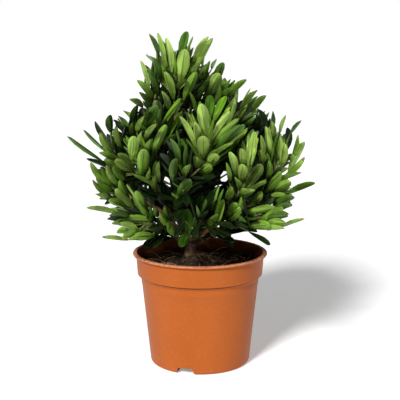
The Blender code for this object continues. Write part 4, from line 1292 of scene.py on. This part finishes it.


# Leaves that show whole in the photograph, each by the pixels of its tip and of its foot, the
# width that shows in pixels, its tone, whether it reaches towards the viewer, and whether its
# tip has died back. Each tone holds the light and shade on its leaf as well as its age:
# painted light and shade. The foot sits on its mass's stem or on a twig of it.
Seen = namedtuple("Seen", "tip foot width tone near dry", defaults=(True, False))
SEEN = {
    "leader": (
        Seen((185, 49), (180, 85), 13, "young"), Seen((186.5, 31), (180, 60), 9, "deep", False),
        Seen((167, 37.5), (172, 75), 7, "young"), Seen((164, 41), (168, 60), 4, "deep", False),
        Seen((157, 33), (166, 71), 5, "fresh"), Seen((150.5, 33), (157, 56), 5, "deep"),
        Seen((147, 54), (154, 64), 2.5, "mature", False), Seen((154, 57), (161, 82), 7, "deep"),
        Seen((166, 71), (174, 101.5), 8, "fresh"), Seen((163.5, 91), (169.5, 113), 6.5, "young"),
        Seen((196, 72), (183, 103), 9, "mature"), Seen((207.5, 36), (192.5, 64), 6.5, "young"),
        Seen((212.5, 38), (194, 73), 7, "fresh"), Seen((193, 48), (186, 70), 5, "fresh", False),
        Seen((204.5, 52), (202, 66), 3, "young", False), Seen((197.5, 62.5), (194, 76), 4, "young"),
    ),
    "top_left": (
        Seen((142, 59.5), (149.5, 92), 5, "young"), Seen((145, 65.5), (161, 97), 5, "inner"),
        Seen((148, 74), (159, 96), 4, "deep"), Seen((138, 79), (155, 103), 7, "fresh"),
        Seen((131, 98), (143, 108), 7, "young"), Seen((149, 68), (156, 95), 6, "deep"),
        Seen((140, 93), (152, 109), 6, "deep"),
    ),
    "top_right": (
        Seen((207.5, 63), (199.5, 82), 6, "young"), Seen((210, 62), (204, 84), 5, "deep"),
        Seen((216, 59), (212, 69), 2.5, "mature", False), Seen((223, 63), (212, 90), 9, "deep"),
        Seen((203, 86), (199, 104), 6, "deep"),
        Seen((219, 74), (208, 98), 12, "young"), Seen((190, 92), (197, 116), 3, "mature"),
    ),
    "high_right": (
        Seen((246, 79.5), (224, 100), 7, "mature"), Seen((257, 91), (243, 107), 5, "fresh"),
        Seen((265, 95), (252, 113), 7, "mature"), Seen((257, 96), (246, 112), 5, "deep", False),
        Seen((230, 79.5), (222, 100), 5, "mature", False), Seen((235, 80.5), (226, 100), 5, "mature", False),
        Seen((247, 105), (222, 141), 7, "mature"), Seen((227, 80), (214, 98), 7, "fresh"),
        Seen((221, 85), (212, 107), 6, "deep"), Seen((230, 88), (218, 106), 6, "mature"),
    ),
    "high_front": (
        Seen((201, 103), (207, 139), 12, "young"), Seen((180, 116), (197, 150), 6, "young"),
        Seen((187, 113), (191, 129), 5, "young", False), Seen((196, 122), (197, 144), 8, "young"),
        Seen((203, 135), (204, 160), 13, "young"), Seen((230, 111.5), (211, 142), 8, "young"),
        Seen((239, 119), (212, 147), 7, "mature"), Seen((240.5, 124.5), (213, 153), 7, "deep"),
        Seen((210, 95), (209, 121), 10, "deep", False), Seen((226, 97), (213, 123), 8, "mature", False),
        Seen((211.5, 166), (196, 175), 10, "mature"), Seen((197, 157), (195, 170), 9, "fresh"),
    ),
    "mid_front": (
        Seen((191, 179), (176, 198), 11, "deep"), Seen((189, 166), (185, 177), 7, "mature"),
        Seen((175, 158), (173, 183), 9, "deep"), Seen((172, 137.5), (179, 165), 7, "deep"),
    ),
    "mid_left_front": (
        Seen((134, 136), (132, 161.5), 11, "fresh"), Seen((156, 124), (144, 141), 6, "young"),
        Seen((166, 125), (152, 158), 9, "mature"), Seen((151, 139), (146, 157), 7, "mature"),
        Seen((144.5, 149), (141, 177), 12, "mature"), Seen((141.5, 133), (140, 148), 5, "young"),
        Seen((144, 117), (137, 133), 5, "young"), Seen((157.5, 161), (160, 183.5), 6, "young"),
        Seen((148, 169), (150, 180), 5, "young"), Seen((154.5, 176), (156, 190), 7, "mature"),
    ),
    "high_left_front": (Seen((157, 105), (143, 131), 10, "deep"), Seen((147, 108), (146, 130), 6, "deep")),
    "high_left": (
        Seen((109.5, 116), (111.5, 134), 8, "deep"), Seen((124.5, 109.5), (133, 120), 5, "fresh", False),
        Seen((118.5, 116.5), (128, 128), 4, "deep", False),
        Seen((137, 106), (132, 128), 7, "deep"), Seen((133, 123), (133, 140), 6, "fresh"),
    ),
    "mid_left": (
        Seen((94, 121.5), (114, 150), 6, "inner", False), Seen((99, 133), (115, 156), 8, "young"),
        Seen((114, 126), (123, 151), 7, "young"), Seen((100, 151), (118, 163), 7, "fresh"),
        Seen((119, 152), (135, 169), 8, "fresh"), Seen((115, 160), (135, 173), 9, "young"),
        Seen((67, 136), (106, 164), 2.2, "deep"), Seen((84, 129), (108, 154), 2.2, "deep", False),
        Seen((86, 159), (126, 174), 4, "inner"), Seen((105, 160), (125, 176), 7, "mature"),
    ),
    "low_left": (
        Seen((89, 163), (111, 187.5), 7, "fresh"), Seen((91.5, 181), (113, 197.5), 6, "fresh", True, True),
        Seen((96.5, 193), (110, 201), 6, "mature"), Seen((106, 166), (121, 187.5), 7, "young"),
        Seen((119, 180), (131, 204), 8, "mature"), Seen((115, 189), (136, 209), 9, "young"),
        Seen((109, 199), (128, 209), 8, "fresh"), Seen((86.5, 206.8), (122, 214), 5, "mature"),
        Seen((101, 171), (116, 186), 6, "mature"), Seen((97, 179), (116, 192), 6, "mature"),
        Seen((112, 167), (128, 182), 7, "mature"),
    ),
    "low_left_front": (
        Seen((138, 204), (153, 216), 8, "mature"), Seen((124, 219), (156, 221), 8, "mature"),
        Seen((120.5, 223), (139, 231), 7, "fresh"), Seen((121, 237), (141, 232), 8, "fresh"),
        Seen((134, 237), (157, 236), 9, "mature"), Seen((102, 237.5), (130, 240), 2.6, "mature", True, True),
        Seen((153, 207), (160, 216), 6, "mature"), Seen((160, 215), (173, 226), 8, "fresh"),
        Seen((117, 231), (136, 230), 8, "mature", False), Seen((129, 239), (150, 238), 6, "mature"),
        Seen((150, 229), (163, 234), 6, "inner"), Seen((110, 214), (131, 218), 7, "deep"),
        Seen((108.5, 219), (129, 222), 6, "inner"),
        Seen((163, 206), (171, 221), 7, "mature"), Seen((174, 229), (166, 216), 6, "deep"),
        Seen((112, 222), (135, 225), 7, "mature"), Seen((168, 224), (179, 236), 8, "mature"),
    ),
    "low_front": (
        Seen((187, 208), (188, 237), 11.5, "deep"), Seen((180, 247), (187, 233), 11, "deep"),
        Seen((223, 200), (215, 230), 8, "fresh"), Seen((216, 213), (210, 230), 7, "mature"),
        Seen((229, 234), (211, 228), 5, "inner"), Seen((176, 217), (184, 233), 6, "inner"),
        Seen((204, 241), (196, 222), 5, "inner"), Seen((214, 238), (204, 221), 5, "inner"),
        Seen((225, 238), (210, 226), 5, "inner"), Seen((196, 238), (201, 216), 4, "inner"),
        Seen((233, 228), (214, 222), 6, "inner"), Seen((176, 237), (186, 222), 5, "inner"),
        Seen((234, 243), (213, 234), 6, "inner"), Seen((201, 235), (214, 226), 5, "withered"),
    ),
    "low_right_front": (
        Seen((237, 203), (226, 220), 10, "mature"), Seen((240, 208), (226, 223), 9, "mature"),
        Seen((243, 198), (236, 212), 7, "mature"), Seen((232, 188), (224, 200), 8, "mature"),
        Seen((276, 207), (243, 214), 8, "mature"), Seen((283, 208), (259, 221), 10, "mature"),
        Seen((291, 205), (272, 214), 6, "deep"), Seen((288, 213), (266, 217), 7, "mature"),
        Seen((287, 216), (264, 220), 7, "deep"), Seen((285.5, 223), (264, 224), 8, "mature"),
        Seen((271, 224), (247, 226.5), 9, "mature"), Seen((284, 228.5), (256, 229), 5, "mature"),
        Seen((304.5, 217.5), (278, 228), 2.6, "mature", True, True),
        Seen((269.5, 245.5), (248, 231), 5, "inner"),
    ),
    "low_right": (
        Seen((315, 181.5), (283, 195.5), 7, "mature", False), Seen((294, 196), (272, 206), 8, "deep"),
        Seen((292, 204), (268, 212), 7, "deep"),
        Seen((290.5, 182), (272, 191), 9, "mature"), Seen((282, 172), (263, 194), 9, "mature"),
        Seen((301, 171), (277, 182), 5, "mature"), Seen((304, 157.5), (281, 180), 6, "mature", True, True),
        Seen((261.5, 193), (246, 207), 9, "young"), Seen((261.5, 165), (244, 191), 12, "young"),
        Seen((271, 161), (266, 179), 7, "mature"),
    ),
    "mid_right": (
        Seen((260, 109), (262, 128), 7, "inner", False), Seen((274.5, 111), (270, 130), 5, "deep", False),
        Seen((286, 115), (279, 135), 2.5, "young"), Seen((301.5, 121), (290, 134), 3, "deep", False),
        Seen((288.5, 128), (286.5, 151), 8, "inner", False), Seen((299, 135), (292, 158), 4, "mature"),
        Seen((304, 141), (287.5, 174), 8, "fresh"), Seen((284, 143), (281, 169), 9, "young"),
        Seen((280, 138), (278, 160), 6, "young"), Seen((267, 126), (269, 158), 7, "young"),
        Seen((272, 122), (272, 140), 6, "young"), Seen((261, 136), (262, 160), 5, "young"),
        Seen((261, 150), (261.5, 168), 8, "young"),
    ),
    "mid_right_front": (
        Seen((231, 151), (236, 177), 8, "young"), Seen((242, 150), (242, 167), 8.5, "young"),
        Seen((243, 165.5), (240, 182), 10, "young"), Seen((236, 178.5), (239, 190), 6, "mature"),
        Seen((226, 163.5), (229.5, 183), 4, "mature"),
    ),
}
LONGEST_LEAF = 0.0440
SHORTEST_LEAF = 0.0220
SEEN_TWIG_REACH = 0.0210
SEEN_TWIG_BACK = 0.35
SHORTEST_TWIG = 0.0015
EDGE_ON_SHARE = 0.4
EDGE_ON_WIDTH = 0.7
SEEN_BEND = 4
SEEN_LENGTH_PLAY = (0.94, 1.04)
SEEN_WIDTH_PLAY = (0.90, 1.04)


def nearest_to_ray(start, end, ray):
    """The share of a line where a ray from the camera passes closest, and the ray's point there."""
    line = end - start
    gap = start - CAMERA_PLACE
    turned_away = line.length_squared - line.dot(ray) ** 2
    share = (line.dot(ray) * ray.dot(gap) - line.dot(gap)) / turned_away
    share = min(1.0, max(0.0, share))
    place = start + line * share
    return share, CAMERA_PLACE + ray * (place - CAMERA_PLACE).dot(ray)


def seen_leaf(mass, seen, rng):
    """A leaf from its mass's stem, or a twig of it, to the tip that shows in the photograph."""
    share, spot = nearest_to_ray(mass.start, mass.end, ray_through(seen.foot))
    place = mass.start.lerp(mass.end, share)
    reach = (spot - place).length
    root = place.lerp(spot, min(1.0, SEEN_TWIG_REACH / reach)) if reach > 0 else place
    if reach > SHORTEST_TWIG:
        twig_foot = mass.start.lerp(mass.end, max(0.0, share - SEEN_TWIG_BACK))
        twigs.append((twig_foot, root, *SEEN_TWIG_RADII))
    wanted = LEAF_LENGTH * rng.uniform(*SEEN_LENGTH_PLAY)
    ray = ray_through(seen.tip)
    gap = root - CAMERA_PLACE
    closest = gap.dot(ray)
    miss = (gap - ray * closest).length
    depth = math.sqrt(max(0.0, wanted**2 - miss**2))
    tip = CAMERA_PLACE + ray * (closest - depth if seen.near else closest + depth)
    length = min(LONGEST_LEAF, max(SHORTEST_LEAF, (tip - root).length))
    along = (tip - root).normalized()
    axis = (mass.end - mass.start).normalized()
    up_face = along.cross(axis).normalized().cross(along) + Vector((0.0, 0.0, FACE_TO_SKY))
    facing = CAMERA_PLACE - (root + tip) / 2
    facing = (facing - along * facing.dot(along)).normalized()
    sideways = along.cross(facing)
    shown_width = seen.width * AHEAD.dot(root - CAMERA_PLACE) / PIXELS
    usual = LEAF_WIDTH * rng.uniform(*SEEN_WIDTH_PLAY)
    usual *= EDGE_ON_WIDTH if shown_width < usual * EDGE_ON_SHARE else 1.0
    width = max(usual, shown_width)
    lean = math.acos(min(1.0, shown_width / width))
    faces = [
        facing * math.cos(lean) * front + sideways * math.sin(lean) * side
        for front in (-1, 1)
        for side in (-1, 1)
    ]
    face = max(faces, key=up_face.dot)
    bend = rng.uniform(-SEEN_BEND, SEEN_BEND)
    return Leaf(root, along, along.cross(face), face, length, width, bend, seen.tone, seen.dry)


# The leaves that are seen come first. No other leaf may come between one of them and the
# camera, so how far ahead they are is kept for each pixel that they cover.
leaves = []
twigs = []
shown = np.full((FRAME_SIDE, FRAME_SIDE), np.inf)
rng = random.Random(SEED)
for mass in masses:
    for seen in SEEN.get(mass.name, ()):
        leaf = seen_leaf(mass, seen, rng)
        leaves.append(leaf)
        taken[cells_of(blade_spots(leaf, SAMPLE_SHARES, SAMPLE_HALVES), CELL)] = True
        across, down, ahead = pixels_of(blade_spots(leaf, SHOWN_SHARES, SHOWN_HALVES))
        np.minimum.at(shown, (down.astype(int), across.astype(int)), ahead)
shown[np.isinf(shown)] = 0.0
seen_count = len(leaves)

# Then the shoots grow their spirals, and last the leaves on old wood and in the room left.
mass_shoots = []
for index, mass in enumerate(masses):
    rng = random.Random(SEED + index)
    stem_foot = mass.start - (mass.end - mass.start) * STEM_FOOT_SUNK
    twigs.append((stem_foot, mass.end, BOUGH_TIP_RADIUS, TWIG_TIP_RADIUS))
    stem = Shoot(mass.start, mass.end, STEM_LEAVES, mass.tone, LEAF_SPREAD_FOOT, LEAF_LENGTH, 0.0)
    own_shoots = [stem]
    for start, end in side_twigs(mass.start, mass.end, SIDE_TWIGS, SIDE_TWIG_LENGTH, rng):
        tone = mass.tone if rng.random() < SAME_TONE_CHANCE else OLDER_AND_SHADED_TONE[mass.tone]
        own_shoots.append(
            Shoot(start, end, TWIG_LEAVES, tone, LEAF_SPREAD_FOOT, TWIG_LEAF_LENGTH, TWIG_FIRST_LEAF)
        )
    for shoot in own_shoots:
        grown = grow(shoot, index, rng)
        leaves += grown
        if grown and shoot is not stem:
            twigs.append((shoot.start, shoot.end, *SIDE_TWIG_RADII))
    mass_shoots.append(own_shoots)

for index, own_shoots in enumerate(mass_shoots):
    rng = random.Random(FILL_SEED + index)
    if index < len(BOUGHS):
        path = bough_path(BOUGHS[index], BOUGH_PARTS)
        for start, end in zip(path[2:], path[3:]):
            old_wood = Shoot(start, end, BOUGH_LEAVES, "deep", BOUGH_LEAF_SPREAD, BOUGH_LEAF_LENGTH, 0.0)
            leaves += grow(old_wood, index, rng)
            own_shoots.append(old_wood)
    leaves += fill(own_shoots, index, FILL_TRIES, rng)


def leaf_shape(leaf):
    """Points of the leaf model laid along a leaf's line."""
    places, faces = blade_line(leaf, BLADE_POINTS[:, 1])
    points = places + np.outer(BLADE_POINTS[:, 0] * leaf.width, leaf.across)
    return points + faces * (BLADE_POINTS[:, 2:] * leaf.length)


# A leaf's tone also goes by the open sky it sees, counted over rays to all sides: painted shade
# where it sees little and painted light where it sees most.
SKY_RAYS = 24
LOWEST_RAY = -0.35
SKY_SPOTS = np.array([0.45, 0.85])
OFF_THE_FACE = 0.0015
crown_points = np.concatenate([leaf_shape(leaf) for leaf in leaves])
starts = np.arange(len(leaves))[:, None, None] * len(BLADE_POINTS)
crown_triangles = (BLADE_TRIANGLES[None] + starts).reshape(-1, 3)
crown = BVHTree.FromPolygons(crown_points.tolist(), crown_triangles.tolist())
ray_places = (np.arange(SKY_RAYS) + 0.5) / SKY_RAYS
rays = []
for place, share in enumerate(ray_places):
    turn = math.radians(GOLDEN_ANGLE * place)
    rise = LOWEST_RAY + (1 - LOWEST_RAY) * share
    flat = math.sqrt(1 - rise * rise)
    rays.append(Vector((math.cos(turn) * flat, math.sin(turn) * flat, rise)))


def sky_seen(leaf):
    """Share of the rays that leave the crown, from just off both faces of a leaf."""
    places, faces = blade_line(leaf, SKY_SPOTS)
    starts = [*(places + faces * OFF_THE_FACE), *(places - faces * OFF_THE_FACE)]
    seen = sum(crown.ray_cast(Vector(start), ray)[0] is None for start in starts for ray in rays)
    return seen / (len(starts) * SKY_RAYS)


# Up to each share of open sky a leaf's tone is so many steps darker, as painted shade; the most
# open leaves go a step lighter, as painted light. A leaf behind those that are seen is one step
# darker still: a painted shadow.
LIGHT_STEPS = ((0.08, 2), (0.18, 1), (0.36, 0), (1.01, -1))
SHADED_FROM = 0.25
TONE_CHANCES = (-1, 0, 0, 0, 0, 1)
chance = random.Random(SEED)
for place, leaf in enumerate(leaves[seen_count:], seen_count):
    open_share = sky_seen(leaf)
    steps = next(steps for limit, steps in LIGHT_STEPS if open_share < limit)
    across, down, _ = pixels_of(blade_spots(leaf, SAMPLE_SHARES, SAMPLE_HALVES))
    if np.mean(shown[down.astype(int), across.astype(int)] > 0) > SHADED_FROM:
        steps += 1
    steps += chance.choice(TONE_CHANCES)
    tone = leaf.tone
    for _ in range(max(0, steps)):
        tone = OLDER_AND_SHADED_TONE[tone]
    if steps < 0:
        tone = PAINTED_LIGHTER_TONE[tone]
    leaves[place] = leaf._replace(tone=tone)

twig_shapes = []
for start, end, thick, thin in twigs:
    path = [start.lerp(end, step / TWIG_PARTS) for step in range(TWIG_PARTS + 1)]
    radii = [thick + (thin - thick) * step / TWIG_PARTS for step in range(TWIG_PARTS + 1)]
    twig_shapes.append((*tube(path, radii, TWIG_SIDES), 0))
green_bark = Finish("green_shoot", specular_ior_level=0.4)
ridges = green_bark.grain(500.0, 3.0)
ridge_colour = green_bark.mix(ridges.rises(0.35, 0.65), tint(70, 78, 34), tint(112, 126, 58))
green_bark.show(base_color=ridge_colour, roughness=0.55 + ridges * 0.2)
shoots = joined("green_shoots", twig_shapes, [green_bark.material])
smoothed(shoots, 60)
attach(shoots, "root")

# The colours of each tone's upper side, midrib and underside. The inner tone, near black, is
# mostly painted shade for leaves deep in the crown. A blade is darker at its foot, where its
# neighbours shade it, in two steps.
TONES = {
    "young": (tint(164, 200, 84), tint(118, 154, 52), tint(170, 202, 96)),
    "fresh": (tint(144, 184, 60), tint(94, 134, 36), tint(148, 184, 74)),
    "mature": (tint(114, 160, 38), tint(66, 106, 20), tint(124, 162, 56)),
    "deep": (tint(68, 110, 22), tint(34, 66, 10), tint(82, 118, 36)),
    "inner": (tint(20, 42, 7), tint(10, 24, 3), tint(28, 48, 10)),
    "withered": (tint(104, 76, 48), tint(62, 44, 28), tint(120, 92, 62)),
}
FOOT_SHADE = 0.40
LOW_SHADE = 0.72
CLOUD_LEVELS = (0.74, 1.22, 0.46)
VEINS_ACROSS_AND_ALONG = (4.4, 0.5, 1.0)
LEAF_TO_LEAF = (50.0, 50.0, 50.0)


def leaf_finish(name, colour, gloss, shade=1.0):
    """Leathery leaf: a waxy satin skin, fine veins lengthwise and faint clouds of tone."""
    leaf = Finish(name, specular_ior_level=0.48)
    clouds = leaf.grain(75.0, 2.0)
    dim, lit, between = (
        (*(part * level * shade for part in colour[:3]), 1.0) for level in CLOUD_LEVELS
    )
    colour = leaf.mix(clouds.rises(0.30, 0.70), dim, lit)
    lengthwise = leaf.across(VEINS_ACROSS_AND_ALONG, leaf.node("ShaderNodeUVMap", {"uv_map": "blade"}))
    unlike = leaf.across(LEAF_TO_LEAF)
    own = leaf.node("ShaderNodeVectorMath", {"operation": "ADD"}, {0: lengthwise, 1: unlike})
    veins = leaf.grain(1.0, 2.0, own)
    colour = leaf.mix(veins.rises(0.46, 0.60) * 0.85, colour, between)
    skin = leaf.relief(veins, 0.00030, 0.7)
    return leaf.show(base_color=colour, roughness=gloss + clouds * 0.12, normal=skin)


def dry_finish(name):
    """Dead leaf tip: dull brown, in blotches."""
    dry = Finish(name, specular_ior_level=0.25)
    blotches = dry.grain(700.0, 3.0)
    colour = dry.mix(blotches.rises(0.4, 0.6), tint(92, 66, 40), tint(150, 118, 84))
    return dry.show(base_color=colour, roughness=0.75 + blotches * 0.1)


MOST_LEAVES = 2400
dry_tip = dry_finish("dry_tip")
for tone, (upper, rib, lower) in TONES.items():
    finishes = [
        leaf_finish(tone + "_upper", upper, 0.30),
        leaf_finish(tone + "_rib", rib, 0.40),
        leaf_finish(tone + "_lower", lower, 0.48),
        dry_tip,
        leaf_finish(tone + "_foot", upper, 0.44, FOOT_SHADE),
        leaf_finish(tone + "_low", upper, 0.40, LOW_SHADE),
    ]
    alike = [leaf for leaf in leaves if leaf.tone == tone]
    for number, first in enumerate(range(0, len(alike), MOST_LEAVES), 1):
        shapes = []
        for leaf in alike[first:first + MOST_LEAVES]:
            slots = np.where(BLADE_DRY & leaf.dry, DRY, BLADE_SLOTS)
            shapes.append((leaf_shape(leaf), BLADE_TRIANGLES, slots))
        foliage = joined(f"{tone}_leaves_{number}", shapes, finishes, [BLADE_MARKS] * len(shapes))
        smoothed(foliage, 50)
        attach(foliage, "root")
        if tone == "mature" and number == 1:
            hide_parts(*["foliage_" + mass.name for mass in masses])


# Studio. A pale paper floor, a white surround, a soft key light over the viewer's left
# shoulder and a weak, wider one from their right.
FLOOR_SIZE = 12.0
FLOOR_DROP = 0.0002
PAPER_GLOW = 0.30
ROOM_LIGHT = 0.12

bpy.ops.mesh.primitive_plane_add(size=FLOOR_SIZE, location=(0, 0, -FLOOR_DROP))
floor = named("studio_floor")
paper = Finish("pale_paper", specular_ior_level=0.1, emission_strength=PAPER_GLOW)
mottle = paper.grain(3.0, 2.0)
paper_colour = paper.mix(mottle.rises(0.3, 0.7), (0.92, 0.92, 0.92, 1), (0.94, 0.94, 0.94, 1))
paper.show(emission_color=paper_colour)
floor.data.materials.append(paper.show(base_color=paper_colour, roughness=0.9 + mottle * 0.05))

world = bpy.data.worlds.new("studio")
bpy.context.scene.world = world
world.use_nodes = True
surround = world.node_tree.nodes["Background"]
surround.inputs["Color"].default_value = (1.0, 1.0, 1.0, 1.0)
paths = world.node_tree.nodes.new("ShaderNodeLightPath")
glow = Flow(paths.outputs["Is Camera Ray"]) * (1 - ROOM_LIGHT) + ROOM_LIGHT
glow.feed(surround.inputs["Strength"])


def softbox(name, place, width, strength):
    """A wide soft light far off on one side, of a width in degrees, aimed at the plant."""
    bpy.ops.object.light_add(type="SUN", location=place)
    light = bpy.context.object
    light.name = name
    light.rotation_euler = Vector(place).to_track_quat("Z", "Y").to_euler()
    light.data.angle = math.radians(width)
    light.data.energy = strength
    light.select_set(False)


softbox("key_light", (-0.45, -0.95, 0.72), 13, 4.2)
softbox("fill_light", (0.90, -0.80, 0.50), 60, 0.5)
